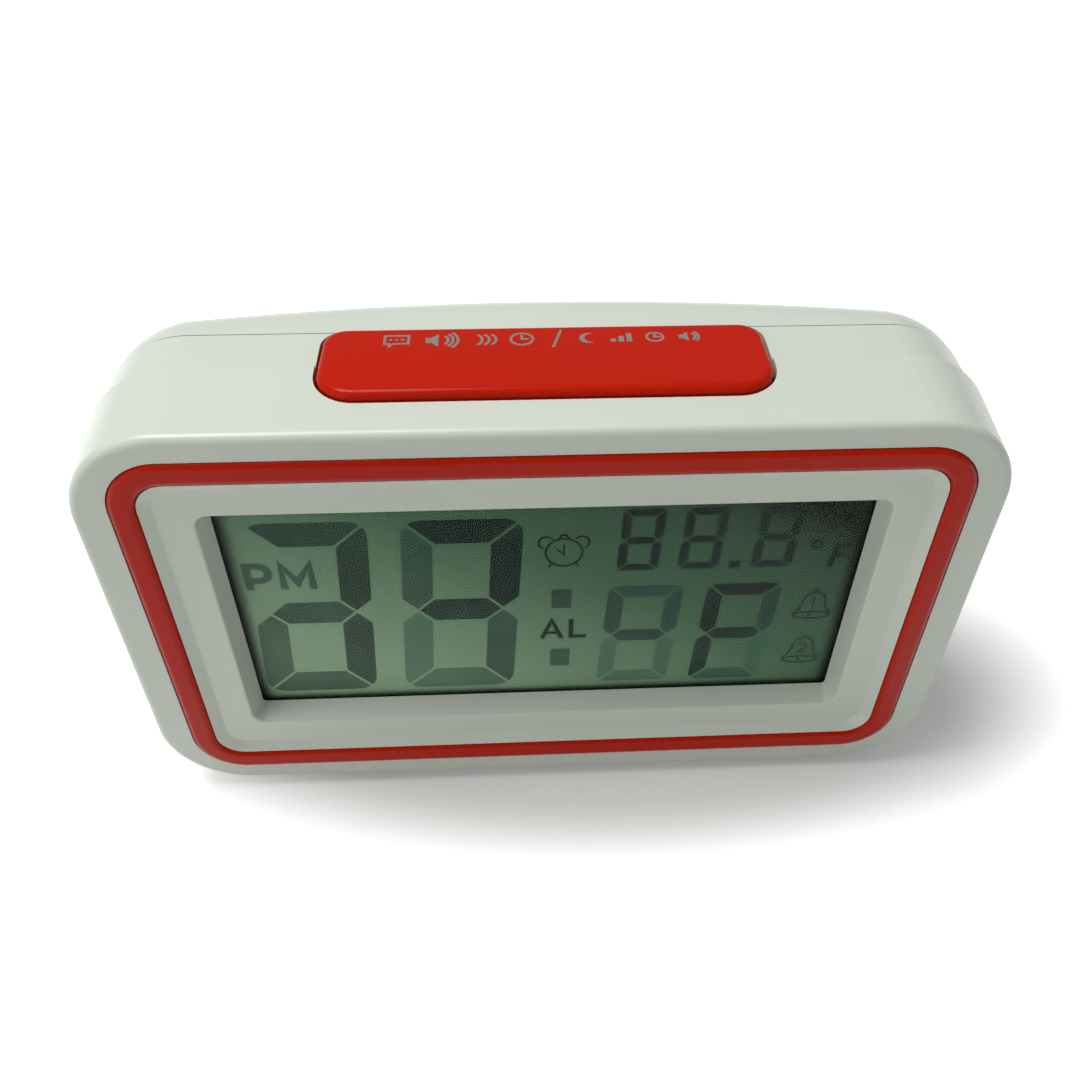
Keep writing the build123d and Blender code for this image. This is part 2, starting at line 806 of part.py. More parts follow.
def lcd_holder():
    """Make the white frame that carries window, glass and contact strips."""
    outline = panel(holder_half_width, holder_half_height, holder_corner)
    holder = across(outline, sight_depth + hair_gap / 2, board_front_depth - hair_gap / 2)
    window_room = panel(window_half_width + holder_fit, window_half_height + holder_fit, window_corner)
    holder -= across(window_room, 0, window_rear_depth)
    glass_x = 2 * (glass_half_width + holder_fit)
    glass_z = 2 * (glass_front_half_height + holder_fit)
    holder -= across(Rectangle(glass_x, glass_z), window_rear_depth - hair_gap, reflector_rear_depth)
    strip_top = glass_front_half_height + holder_fit
    strip_bottom = glass_rear_half_height + contact_strip_gap
    reach = contact_strip_half_length + holder_fit
    for side in (-1, 1):
        slot = span(-reach, reach, *sorted((side * strip_bottom, side * strip_top)))
        holder -= across(slot, glass_middle_depth, board_front_depth)
    back = panel(holder_back_half_width, holder_back_half_height, holder_corner)
    return holder - across(back, glass_rear_depth, board_front_depth)


def contact_strips():
    """Make the two rubber strips that join the glass to the board."""
    strips = []
    low = glass_rear_half_height + contact_strip_gap
    for side in (-1, 1):
        near_edge, far_edge = sorted((side * low, side * (low + contact_strip_width)))
        outline = span(-contact_strip_half_length, contact_strip_half_length, near_edge, far_edge)
        strips.append(across(outline, glass_middle_depth, board_front_depth))
    return strips


def main_board():
    """Make the main circuit board with its screw holes."""
    outline = panel(board_half_width, board_half_height, board_corner)
    board = across(outline, board_front_depth, board_rear_depth)
    for x, z in corner_places(board_screw_x, board_screw_height):
        hole = Pos(x, z) * Circle(small_screw_radius + screw_hole_clearance)
        board -= across(hole, 0, body_depth)
    return board


def driven_screw(length, radius, head_radius, head_thickness):
    """Make a pan-headed screw on its own axis, head above zero and shank below, with a cross."""
    screw = Pos(0, 0, -length / 2) * Cylinder(radius, length)
    head = Pos(0, 0, head_thickness / 2) * Cylinder(head_radius, head_thickness)
    head = fillet(head.edges().group_by(Axis.Z)[-1], head_thickness / 2)
    for turn in (0, 90):
        cut = Box(head_radius, slot_width, slot_depth)
        head -= Rot(0, 0, turn) * Pos(0, 0, head_thickness - slot_depth / 2) * cut
    return screw + head


def screw_from_back(x, behind, z, sizes):
    """Place a screw whose head faces the back, its seat at a depth."""
    return Pos(*place(x, behind, z)) * Rot(-90, 0, 0) * driven_screw(*sizes)


def screw_from_front(x, behind, z, sizes):
    """Place a screw whose head faces the front, its seat at a depth."""
    return Pos(*place(x, behind, z)) * Rot(90, 0, 0) * driven_screw(*sizes)


def board_screws():
    """Make the four screws of the main board."""
    sizes = (small_screw_length, small_screw_radius, small_head_radius, small_head_thickness)
    spots = corner_places(board_screw_x, board_screw_height)
    return [screw_from_back(x, board_rear_depth, z, sizes) for x, z in spots]


def case_screws():
    """Make the four long case screws, seated deep in the cover's tubes."""
    sizes = (case_screw_length, case_screw_radius, case_head_radius, case_head_thickness)
    seat = front_shell_depth + case_seat_thickness
    return [screw_from_back(x, seat, z, sizes) for x, z in corner_places(case_screw_x, case_screw_z)]


def key_board_screws():
    """Make the two screws that hold the key board to its posts."""
    sizes = (small_screw_length, small_screw_radius, small_head_radius, small_head_thickness)
    return [screw_from_front(x, key_board_front_depth, z, sizes) for x, z in key_board_post_places()]


def speaker_screws():
    """Make the washer-headed screws that clamp the speaker's rim."""
    sizes = (small_screw_length / 2, small_screw_radius, clamp_head_radius, small_head_thickness)
    seat = speaker_front_depth - speaker_rim_thickness
    return [screw_from_front(x, seat, z, sizes) for x, z in clamp_places()]


def shelf_screws():
    """Make the two screws that hold the small board under the button."""
    screws = []
    for x in (hanger_x, -hanger_x):
        spot = Pos(*place(x, hanger_depth, key_shelf_height)) * Rot(180, 0, 0)
        sizes = (hanger_screw_length, small_screw_radius, small_head_radius, small_head_thickness)
        screws.append(spot * driven_screw(*sizes))
    return screws


def controller_blob():
    """Make the domed resin blob over the clock's chip."""
    ball_radius = (blob_radius**2 + blob_height**2) / (2 * blob_height)
    spot = place(blob_x, board_rear_depth + blob_height - ball_radius, blob_z)
    ball = Pos(*spot) * Sphere(ball_radius)
    disc = across(Pos(blob_x, blob_z) * Circle(blob_radius), board_rear_depth, board_rear_depth + blob_height)
    return ball & disc


def speech_chip():
    """Make the speech chip with a row of pins along each long side."""
    body_near = board_rear_depth + chip_standoff
    outline = Pos(chip_x, chip_z) * Rectangle(chip_length, chip_width)
    chip = across(outline, body_near, body_near + chip_thickness)
    pin_z = chip_width / 2 + chip_pin_reach / 2
    for index in range(chip_pin_count):
        x = chip_x + (index - (chip_pin_count - 1) / 2) * chip_pin_pitch
        for side in (-1, 1):
            foot = Pos(x, chip_z + side * pin_z) * Rectangle(chip_pin_width, chip_pin_reach)
            chip += across(foot, board_rear_depth, board_rear_depth + chip_pin_thickness)
    return chip


def clock_crystal():
    """Make the small can of the timing crystal with its two leads."""
    axis_depth = board_rear_depth + crystal_radius
    can = sideways(Pos(axis_depth, crystal_z) * Circle(crystal_radius), crystal_x, crystal_x + crystal_length)
    for side in (-1, 1):
        lead = Pos(axis_depth, crystal_z + side * crystal_radius / 2) * Circle(crystal_lead_radius)
        can += sideways(lead, crystal_x - crystal_lead_length, crystal_x + crystal_lead_radius)
    return can


def capacitors():
    """Make the two upright electrolytic capacitors with their vented tops."""
    cans = []
    for index in range(2):
        spot = Pos(capacitor_x + index * capacitor_pitch, capacitor_z)
        top = board_rear_depth + capacitor_height
        can = across(spot * Circle(capacitor_radius), board_rear_depth, top)
        vent = Rectangle(capacitor_radius, capacitor_vent_depth)
        for turn in (0, 90):
            can -= across(spot * Rot(0, 0, turn) * vent, top - capacitor_vent_depth, top + overrun)
        cans.append(can)
    return cans


def chip_resistors():
    """Make a row of small surface-mounted resistors."""
    row = []
    for index in range(resistor_count):
        spot = Pos(resistor_x + index * resistor_pitch, resistor_z)
        outline = spot * Rectangle(resistor_width, resistor_length)
        row.append(across(outline, board_rear_depth, board_rear_depth + resistor_height))
    return row


def temperature_sensor():
    """Make the bead that reads the room's temperature, on two leads."""
    lead_end = board_rear_depth + sensor_lead_length
    bead = across(Pos(sensor_x, sensor_z) * Circle(sensor_radius), lead_end, lead_end + sensor_length)
    bead = fillet(face_edges(bead, lead_end + sensor_length), sensor_radius / 2)
    for side in (-1, 1):
        spot = Pos(sensor_x + side * sensor_lead_pitch / 2, sensor_z)
        bead += across(spot * Circle(sensor_lead_radius), board_rear_depth, lead_end + sensor_lead_radius)
    return bead


def above_button():
    """Make the cutter that slopes the long button's top down towards the back."""
    high = button_top + overrun
    low = button_top - button_fall
    corners = [
        (button_front_depth, button_top),
        (button_rear_depth, low),
        (button_rear_depth + overrun, low),
        (button_rear_depth + overrun, high),
        (button_front_depth, high),
    ]
    return sideways(Polygon(*corners, align=None), -half_width, half_width)


def talk_button():
    """Make the long red button: hollow cap, inner flange, spring pins and plunger."""
    cap = upright(button_outline(0), flange_bottom, button_top)
    cap -= above_button()
    cap = fillet(cap.faces().sort_by(Axis.Z)[-1].edges(), button_edge_radius)
    reach = button_half_width + button_clearance + flange_reach
    front = button_front_depth - button_clearance - flange_reach
    flange = span(-reach, reach, front, button_rear_depth - button_clearance)
    flange = fillet(flange.vertices(), flange_corner)
    button = cap + upright(flange, flange_bottom, flange_top)
    button -= upright(button_outline(-button_wall), flange_bottom - overrun, button_underside)
    for x in (pin_x, -pin_x):
        pin = Pos(x, switch_depth) * Circle(pin_radius)
        button += upright(pin, pin_tip_height, button_underside + hair_gap)
    plunger = Pos(0, switch_depth) * Circle(plunger_radius)
    return button + upright(plunger, stem_top, button_underside + hair_gap)


def button_springs():
    """Make the two return springs, each wound round one of the button's pins."""
    length = button_underside - shelf_top - 2 * spring_end_gap
    rise = length - 2 * spring_wire_radius
    springs = []
    for x in (pin_x, -pin_x):
        path = Helix(rise / spring_turns, rise, spring_mean_radius)
        section = Plane(origin=path @ 0, z_dir=path % 0) * Circle(spring_wire_radius)
        coil = sweep(section, path=path, is_frenet=True)
        low = shelf_top + spring_end_gap + spring_wire_radius
        springs.append(Pos(*place(x, switch_depth, low)) * coil)
    return springs


def key_shelf():
    """Make the small level board under the button, pierced for pins and screws."""
    outline = span(-key_shelf_half_width, key_shelf_half_width, key_shelf_front_depth, key_shelf_rear_depth)
    board = upright(outline, key_shelf_height, shelf_top)
    for x in (pin_x, -pin_x):
        hole = Pos(x, switch_depth) * Circle(pin_radius + screw_hole_clearance)
        board -= upright(hole, key_shelf_height - overrun, shelf_top + overrun)
    for x in (hanger_x, -hanger_x):
        hole = Pos(x, hanger_depth) * Circle(small_screw_radius + screw_hole_clearance)
        board -= upright(hole, key_shelf_height - overrun, shelf_top + overrun)
    return board


def button_switch():
    """Make the body of the switch under the button, bored for its stem."""
    square = Pos(0, switch_depth) * Rectangle(2 * switch_half_side, 2 * switch_half_side)
    body = upright(square, shelf_top, switch_top)
    body = fillet(body.edges().filter_by(Axis.Z), switch_edge_radius)
    bore = Pos(0, switch_depth) * Circle(stem_radius + stem_clearance)
    return body - upright(bore, shelf_top + stem_stroke_room, switch_top + overrun)


def button_switch_stem():
    """Make the stem that the button pushes into its switch."""
    low = shelf_top + stem_stroke_room + button_travel + hair_gap
    return upright(Pos(0, switch_depth) * Circle(stem_radius), low, stem_top)


def key_board():
    """Make the upright board behind the rear keys."""
    outline = Pos(key_board_x, key_height) * Rectangle(2 * key_board_half_width, 2 * key_board_half_height)
    board = across(outline, key_board_front_depth, key_board_rear_depth)
    for x, z in key_board_post_places():
        hole = Pos(x, z) * Circle(small_screw_radius + screw_hole_clearance)
        board -= across(hole, 0, body_depth)
    return board


def key_switches():
    """Make the four switch bodies of the key board, each bored for its stem."""
    bodies = []
    for x in key_places:
        spot = Pos(x, key_height)
        square = spot * Rectangle(2 * tact_half_side, 2 * tact_half_side)
        body = across(square, key_board_rear_depth, tact_rear_depth)
        bore = spot * Circle(tact_stem_radius + stem_clearance)
        body -= across(bore, key_board_rear_depth + stem_stroke_room, tact_rear_depth + overrun)
        bodies.append(body)
    return bodies


def key_switch_stem(x):
    """Make the stem that one rear key pushes into its switch."""
    near = key_board_rear_depth + stem_stroke_room + key_travel + hair_gap
    return across(Pos(x, key_height) * Circle(tact_stem_radius), near, tact_stem_depth)


def tube_along(points, radius, bends):
    """Sweep a round wire along straight runs joined by arcs, and check its volume."""
    path = FilletPolyline(*points, radius=bends)
    section = Plane(origin=path @ 0, z_dir=path % 0) * Circle(radius)
    wire = sweep(section, path=path)
    expected = math.pi * radius**2 * path.length
    print(f"wire length {path.length:.1f} bend {bends:.1f} volume share {wire.volume / expected:.4f}")
    return wire


def bend_radius(run, turn):
    """Give the radius that a run leaves room for at a bend of some degrees."""
    room_share = 0.45
    return room_share * run / math.tan(math.radians(turn / 2))


def loose_wire(start, finish):
    """Make a wire that leaves one terminal forwards, slants, and meets the main board."""
    x, behind, z = start
    end_x, end_z = finish
    run = (behind - board_rear_depth) * loose_wire_run_share
    points = [
        Vector(*place(x, behind, z)),
        Vector(*place(x, behind - run, z)),
        Vector(*place(end_x, board_rear_depth + run, end_z)),
        Vector(*place(end_x, board_rear_depth, end_z)),
    ]
    turn = (points[1] - points[0]).get_angle(points[2] - points[1])
    return tube_along(points, loose_wire_radius, bend_radius(run, turn))


def shelf_wires():
    """Make the two wires from the small board down to the main board."""
    start_depth = board_rear_depth + shelf_wire_drop
    low = key_shelf_height - shelf_wire_drop
    bends = bend_radius(shelf_wire_drop, 90)
    wires = []
    for side in (-1, 1):
        x = shelf_wire_x + side * shelf_wire_pitch / 2
        points = [
            place(x, start_depth, key_shelf_height),
            place(x, start_depth, low),
            place(x, board_rear_depth, low),
        ]
        wires.append(tube_along(points, shelf_wire_radius, bends))
    return wires


def key_ribbon():
    """Make the flat cable between the main board and the key board."""
    middle = (board_rear_depth + key_board_front_depth) / 2
    points = [
        (board_rear_depth, ribbon_start_height),
        (middle, ribbon_start_height),
        (middle, ribbon_end_height),
        (key_board_front_depth, ribbon_end_height),
    ]
    strip = trace(FilletPolyline(*points, radius=ribbon_bend_radius), ribbon_thickness)
    return sideways(strip, key_board_x - ribbon_half_width, key_board_x + ribbon_half_width)


def cell(side):
    """Make one cell lying along the bay, its nub to the side given as 1 or -1."""
    z = bay_z - side * cell_pitch / 2
    total = cell_length + cell_nub_length
    can = sideways(Pos(cell_depth, z) * Circle(cell_radius), 0, cell_length)
    can = fillet(can.edges().filter_by(GeomType.CIRCLE), cell_edge_radius)
    can += sideways(Pos(cell_depth, z) * Circle(cell_nub_radius), cell_length - cell_edge_radius, total)
    nub_gap = contact_thickness + contact_gap
    if side > 0:
        return Pos(bay_x + bay_half_length - nub_gap - total, 0, 0) * can
    flipped = mirror(can, about=Plane.YZ)
    return Pos(bay_x - bay_half_length + nub_gap + total, 0, 0) * flipped


def contact_tag_places():
    """Give the heights at which the left plates' solder tags stand."""
    return [bay_z - cell_pitch / 2, bay_z + cell_pitch / 2]


def contact_tag(z, grow):
    """Make one solder tag that passes through the bay's floor, grown by a clearance."""
    left = bay_x - bay_half_length
    reach = contact_tag_half_width + grow
    tip = bay_floor_depth - bay_floor - contact_tag_reach - grow
    outline = span(tip, cell_depth - contact_half_width + grow, z - reach, z + reach)
    return sideways(outline, left, left + contact_thickness + grow)


def contact_plates():
    """Make the plates at the bay's ends: two with tags on the left, one bridge on the right."""
    plates = []
    half_z = contact_half_height
    left = bay_x - bay_half_length
    right = bay_x + bay_half_length
    near = cell_depth - contact_half_width
    far = cell_depth + contact_half_width
    for z in contact_tag_places():
        plate = sideways(span(near, far, z - half_z, z + half_z), left, left + contact_thickness)
        plates.append(plate + contact_tag(z, 0))
    top = bay_z + cell_pitch / 2 + half_z
    bottom = bay_z - cell_pitch / 2 - half_z
    plates.append(sideways(span(near, far, bottom, top), right - contact_thickness, right))
    return plates


def cell_springs():
    """Make the two coil springs that press on the cells' flat ends."""
    room = 2 * bay_half_length - 2 * contact_thickness - cell_length - cell_nub_length - contact_gap
    rise = room - 2 * cell_spring_wire_radius - 2 * contact_gap
    springs = []
    for side in (1, -1):
        path = Helix(rise / cell_spring_turns, rise, cell_spring_radius)
        section = Plane(origin=path @ 0, z_dir=path % 0) * Circle(cell_spring_wire_radius)
        coil = sweep(section, path=path, is_frenet=True)
        z = bay_z - side * cell_pitch / 2
        inset = contact_thickness + contact_gap + cell_spring_wire_radius
        if side > 0:
            spot = Pos(*place(bay_x - bay_half_length + inset, cell_depth, z)) * Rot(0, 90, 0)
        else:
            spot = Pos(*place(bay_x + bay_half_length - inset, cell_depth, z)) * Rot(0, -90, 0)
        springs.append(spot * coil)
    return springs


def battery_wires():
    """Make the two wires from the left plates' tags to the main board."""
    x = bay_x - bay_half_length + loose_wire_radius
    behind = bay_floor_depth - bay_floor - contact_tag_reach
    return [loose_wire((x, behind, z), (x + battery_wire_shift, z)) for z in contact_tag_places()]


def speaker_wires():
    """Make the two wires from the speaker's terminals to the main board."""
    behind = speaker_back_depth - terminal_thickness
    wires = []
    for side in (-1, 1):
        x, z = terminal_place(side)
        wires.append(loose_wire((x, behind, z), (x - speaker_wire_shift, z - speaker_wire_fall)))
    return wires


def battery_door():
    """Make the bowed door with its lower tabs, thumb tongue and grip ridges."""
    plate = cover_skin(cover_inset, cover_inset + door_thickness)
    door = plate & across(door_outline(0), bay_floor_depth, body_depth + overrun)
    top = bay_z + door_half_height + tongue_tab_height
    skin = rear_surface(bay_x)
    for index in range(ridge_count):
        spot = Pos(bay_x, top - ridge_pitch * (index + 1))
        bar = spot * Rectangle(2 * ridge_half_length, ridge_width)
        door += across(bar, skin - door_thickness / 2, skin + ridge_height)
    for side in (-1, 1):
        x = bay_x + side * door_tab_x
        bottom = bay_z - door_half_height
        back = rear_surface(x) - shell_wall - door_tab_gap
        left = x - door_tab_half_width
        right = x + door_tab_half_width
        tab = span(left, right, bottom - door_tab_length, bottom + door_tab_root)
        door += across(tab, back - door_tab_thickness, back)
        web = span(left, right, bottom, bottom + door_tab_root)
        door += across(web, back - door_tab_thickness, back + door_thickness / 2)
    return door


def speaker_frame():
    """Make the speaker's pressed steel frame with its two solder terminals."""
    spot = Pos(speaker_x, speaker_z)
    rim_front = speaker_front_depth - speaker_rim_thickness
    inner = speaker_radius - speaker_rim_width
    frame = across(spot * Circle(speaker_radius), rim_front, speaker_front_depth)
    frame -= across(spot * Circle(inner), 0, body_depth)
    base = speaker_plane(speaker_back_depth)
    top = speaker_plane(rim_front + hair_gap)
    outer_wall = loft([base * Circle(speaker_basket_radius), top * Circle(inner + speaker_basket_wall)])
    floor = speaker_plane(speaker_back_depth + speaker_basket_wall)
    lid = speaker_plane(rim_front + 2 * hair_gap)
    inner_wall = loft([floor * Circle(speaker_basket_radius - speaker_basket_wall), lid * Circle(inner)])
    frame += outer_wall - inner_wall
    for side in (-1, 1):
        tag = Pos(*terminal_place(side)) * Rectangle(terminal_width, terminal_length)
        frame += across(tag, speaker_back_depth - terminal_thickness, speaker_back_depth + hair_gap)
    return frame


def speaker_plane(behind):
    """Give the plane across the speaker's axis at a depth behind the face."""
    return Plane(origin=place(speaker_x, behind, speaker_z), z_dir=(0, 1, 0))


def terminal_place(side):
    """Give the x and height of one speaker terminal, to the side given as 1 or -1."""
    x = speaker_x + side * (speaker_basket_radius - 2 * terminal_width)
    return x, speaker_z - speaker_magnet_radius - terminal_width / 2


def speaker_magnet():
    """Make the magnet on the back of the speaker."""
    disc = Pos(speaker_x, speaker_z) * Circle(speaker_magnet_radius)
    magnet = across(disc, magnet_front_depth, speaker_back_depth)
    return fillet(face_edges(magnet, magnet_front_depth), speaker_basket_wall)


def speaker_cone():
    """Make the thin moulded cone with its raised dome, turned about the speaker's axis."""
    edge = speaker_radius - speaker_rim_width - speaker_fit
    fold = (edge + speaker_dome_radius) / 2
    top = -speaker_rim_thickness / 2
    low = top - speaker_cone_drop
    front = [(0, low + speaker_dome_height), (speaker_dome_radius, low), (fold, top - hair_gap), (edge, top)]
    back = [(x, depth - speaker_cone_thickness) for x, depth in reversed(front)]
    outline = make_face(Polyline(*front, *back, close=True))
    turned = revolve(Plane.XZ * outline, axis=Axis.Z)
    return Pos(*place(speaker_x, speaker_front_depth, speaker_z)) * Rot(-90, 0, 0) * turned


def rubber_feet():
    """Make the four rubber feet, two in front and two behind."""
    feet = []
    for x in (front_foot_x, -front_foot_x):
        feet.append(upright(Pos(x, front_foot_depth) * Circle(foot_radius), *foot_heights()))
    for x in (rear_foot_x, -rear_foot_x):
        feet.append(upright(Pos(x, rear_foot_depth) * Circle(foot_radius), *foot_heights()))
    return feet


def foot_heights():
    """Give the lowest and highest level of a rubber foot."""
    low = -half_height - foot_proud
    return low, low + foot_thickness


def export(node, shapes):
    """Write one node, made of one solid or of several like ones."""
    group = shapes if isinstance(shapes, list) else [shapes]
    solids = [solid for shape in group for solid in shape.solids()]
    shape = solids[0] if len(solids) == 1 else Compound(children=solids)
    export_step(shape, os.path.join("parts", node + ".step"))
    print(f"{node}: {len(solids)} solid, {sum(solid.volume for solid in solids):.1f} mm3")


def display_nodes():
    """Build the display's window, layers, holder and contact strips."""
    film = (film_half_width, film_half_height)
    front_glass = (glass_half_width, glass_front_half_height)
    rear_glass = (glass_half_width, glass_rear_half_height)
    reflector = (reflector_half_width, reflector_half_height)
    return {
        "display_window": display_window(),
        "lcd_front_film": display_layer(*film, film_front_depth, glass_front_depth),
        "lcd_front_glass": display_layer(*front_glass, glass_front_depth, glass_middle_depth),
        "lcd_rear_glass": display_layer(*rear_glass, glass_middle_depth, glass_rear_depth),
        "lcd_reflector": display_layer(*reflector, glass_rear_depth, reflector_rear_depth),
        "lcd_holder": lcd_holder(),
        "contact_strips": contact_strips(),
    }


def board_nodes():
    """Build the main board and everything fixed to it."""
    return {
        "main_board": main_board(),
        "main_board_screws": board_screws(),
        "controller_blob": controller_blob(),
        "speech_chip": speech_chip(),
        "clock_crystal": clock_crystal(),
        "capacitors": capacitors(),
        "chip_resistors": chip_resistors(),
        "temperature_sensor": temperature_sensor(),
    }


def button_nodes():
    """Build the long button, its springs, switch, small board and wires."""
    return {
        "talk_button": talk_button(),
        "button_springs": button_springs(),
        "button_switch": button_switch(),
        "button_switch_stem": button_switch_stem(),
        "key_shelf": key_shelf(),
        "key_shelf_screws": shelf_screws(),
        "key_shelf_wires": shelf_wires(),
    }


def rear_key_nodes():
    """Build the rear keys with their board, switches, stems, screws and ribbon."""
    nodes = {
        "key_board": key_board(),
        "key_board_screws": key_board_screws(),
        "key_switches": key_switches(),
        "key_ribbon": key_ribbon(),
    }
    for name, x in zip(key_names, key_places):
        nodes[name] = rear_key(x)
        nodes[name + "_stem"] = key_switch_stem(x)
    return nodes


def power_nodes():
    """Build the cells, their contacts, springs and wires, and the door over them."""
    return {
        "lower_cell": cell(1),
        "upper_cell": cell(-1),
        "battery_contacts": contact_plates(),
        "battery_springs": cell_springs(),
        "battery_wires": battery_wires(),
        "battery_door": battery_door(),
    }


def speaker_nodes():
    """Build the loudspeaker with its screws and wires."""
    return {
        "speaker_frame": speaker_frame(),
        "speaker_magnet": speaker_magnet(),
        "speaker_cone": speaker_cone(),
        "speaker_screws": speaker_screws(),
        "speaker_wires": speaker_wires(),
    }


def case_nodes():
    """Build the three shells, the ring, the case screws and the feet."""
    return {
        "front_shell": front_shell(),
        "accent_ring": accent_ring(),
        "middle_band": middle_band(),
        "rear_cover": rear_cover(),
        "case_screws": case_screws(),
        "rubber_feet": rubber_feet(),
    }


def main():
    """Build every node and write it."""
    os.makedirs("parts", exist_ok=True)
    groups = [
        case_nodes,
        display_nodes,
        board_nodes,
        button_nodes,
        rear_key_nodes,
        power_nodes,
        speaker_nodes,
    ]
    for group in groups:
        for node, shapes in group().items():
            export(node, shapes)


if __name__ == "__main__":
    main()
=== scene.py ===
"""Looks of a talking alarm clock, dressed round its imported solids.

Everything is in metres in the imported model's own frame: X to the viewer's right, Y back from the
display, Z up. Flat art, such as the display's figures, is drawn in millimetres and then laid on the
surface that carries it.
"""

import logging
import math
from dataclasses import dataclass
from enum import Enum
from functools import cache
from typing import Iterable, Mapping, Sequence

import bpy
import numpy as np
from mathutils import Matrix, Vector


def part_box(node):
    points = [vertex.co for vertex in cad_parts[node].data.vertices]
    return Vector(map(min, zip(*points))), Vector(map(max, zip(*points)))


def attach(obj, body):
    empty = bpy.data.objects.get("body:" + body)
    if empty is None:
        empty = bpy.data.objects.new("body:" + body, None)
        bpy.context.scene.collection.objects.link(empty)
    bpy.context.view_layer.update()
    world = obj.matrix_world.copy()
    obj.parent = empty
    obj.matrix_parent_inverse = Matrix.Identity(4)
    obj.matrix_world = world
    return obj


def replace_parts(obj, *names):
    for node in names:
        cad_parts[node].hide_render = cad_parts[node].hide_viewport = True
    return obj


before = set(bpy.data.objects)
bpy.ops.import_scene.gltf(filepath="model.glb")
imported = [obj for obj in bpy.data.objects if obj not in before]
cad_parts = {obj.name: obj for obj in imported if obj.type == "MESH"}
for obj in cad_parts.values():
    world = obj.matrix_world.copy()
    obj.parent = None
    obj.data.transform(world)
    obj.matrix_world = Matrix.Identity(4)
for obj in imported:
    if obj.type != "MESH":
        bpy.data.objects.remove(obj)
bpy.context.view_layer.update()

Tree = bpy.types.NodeTree
Socket = bpy.types.NodeSocket
Material = bpy.types.Material
Piece = bpy.types.Object
Pair = tuple[float, float]
Triple = tuple[float, float, float]
Inputs = dict[str, object]

log = logging.getLogger("clock")
MM = 0.001
MIX_FACTOR, MIX_A, MIX_B, MIX_RESULT = 0, 6, 7, 2  # sockets of a Mix node that mixes colours
NOISE_LOW, NOISE_HIGH = 0.3, 0.7  # nearly all of a noise texture's values lie between these
WAVES_PER_UNIT = 20 / math.pi  # how often a wave texture of scale 1 repeats in one unit
SHARPEST = 0.5  # cosine of half the turn, beyond which a line's corner gets no longer
TINY = 1e-6  # keeps a line that turns right back from dividing by zero
ALIGNED = 0.9  # an axis with a larger X than this counts as lying along X


def linear(shade: str) -> tuple[float, float, float, float]:
    """Turns an sRGB hex colour into linear light.

    Formula: ((c + 0.055) / 1.055) to the power 2.4, or c / 12.92 in the dark toe.

    Args:
        shade: Six hex digits after a hash.

    Returns:
        Red, green, blue and an alpha of 1.
    """
    parts = np.array([int(shade[i : i + 2], 16) / 255 for i in (1, 3, 5)])
    light = np.where(parts <= 0.04045, parts / 12.92, ((parts + 0.055) / 1.055) ** 2.4)
    return (*(float(c) for c in light), 1.0)


def per_metre(size_mm: float) -> float:
    """Gives the texture scale at which one feature is this many millimetres wide."""
    return 1 / (size_mm * MM)


def add_node(
    tree: Tree, kind: str, inputs: Mapping[str | int, object] | None = None, **settings: object
) -> bpy.types.Node:
    """Adds one shader node with its settings and links.

    Args:
        tree: Node tree that it goes in.
        kind: Blender's class name for the node, without its first word.
        inputs: Each input by name or number, as a value or as a socket to link from.
        settings: Properties of the node itself.

    Returns:
        The new node.
    """
    node = tree.nodes.new("ShaderNode" + kind)
    for name, value in settings.items():
        setattr(node, name, value)
    for key, value in (inputs or {}).items():
        if isinstance(value, Socket):
            tree.links.new(value, node.inputs[key])
        else:
            node.inputs[key].default_value = value
    return node


def blank_material(name: str) -> tuple[Material, Tree, Socket]:
    """Makes a material with nothing in it but an output.

    Args:
        name: The finish's name.

    Returns:
        The material, its node tree and the output's surface socket.
    """
    material = bpy.data.materials.new(name)
    material.use_nodes = True
    tree = material.node_tree
    tree.nodes.clear()
    return material, tree, add_node(tree, "OutputMaterial").inputs["Surface"]


def blend_colours(
    tree: Tree, factor: object, first: object, second: object, mode: str = "MIX"
) -> Socket:
    """Mixes two colours.

    Args:
        tree: Node tree that the mix goes in.
        factor: Share of the second colour, a number or a socket.
        first: Colour or socket at factor 0.
        second: Colour or socket at factor 1.
        mode: Blender's name for the way of mixing.

    Returns:
        The mixed colour's socket.
    """
    inputs = {MIX_FACTOR: factor, MIX_A: first, MIX_B: second}
    return add_node(tree, "Mix", inputs, data_type="RGBA", blend_type=mode).outputs[MIX_RESULT]


def work_out(tree: Tree, operation: str, *values: object) -> Socket:
    """Adds a sum on numbers or sockets and gives the socket of its result."""
    return add_node(tree, "Math", dict(enumerate(values)), operation=operation).outputs[0]


def noise(
    tree: Tree, place: Socket, size_mm: float, detail: float = 2.0, roughness: float = 0.5
) -> Socket:
    """Adds noise with features of one size in millimetres and gives its value."""
    scale = per_metre(size_mm)
    inputs = {"Vector": place, "Scale": scale, "Detail": detail, "Roughness": roughness}
    return add_node(tree, "TexNoise", inputs).outputs[0]


def wave(tree: Tree, place: Socket, pitch_mm: float, axis: str, distortion: float = 0.0) -> Socket:
    """Adds even waves across one axis and gives their value."""
    scale = per_metre(pitch_mm) / WAVES_PER_UNIT
    inputs = {"Vector": place, "Scale": scale, "Distortion": distortion}
    return add_node(tree, "TexWave", inputs, bands_direction=axis).outputs["Fac"]


def span(
    tree: Tree,
    value: Socket,
    low: float,
    high: float,
    start: float = 0.0,
    end: float = 1.0,
    kind: str = "LINEAR",
) -> Socket:
    """Maps a value that runs from start to end onto low to high, by one kind of curve."""
    inputs = {"Value": value, "From Min": start, "From Max": end, "To Min": low, "To Max": high}
    return add_node(tree, "MapRange", inputs, interpolation_type=kind).outputs[0]


def around(middle: float, spread: float) -> Pair:
    """Gives the values that lie this far below and above a middle one."""
    return middle - spread, middle + spread


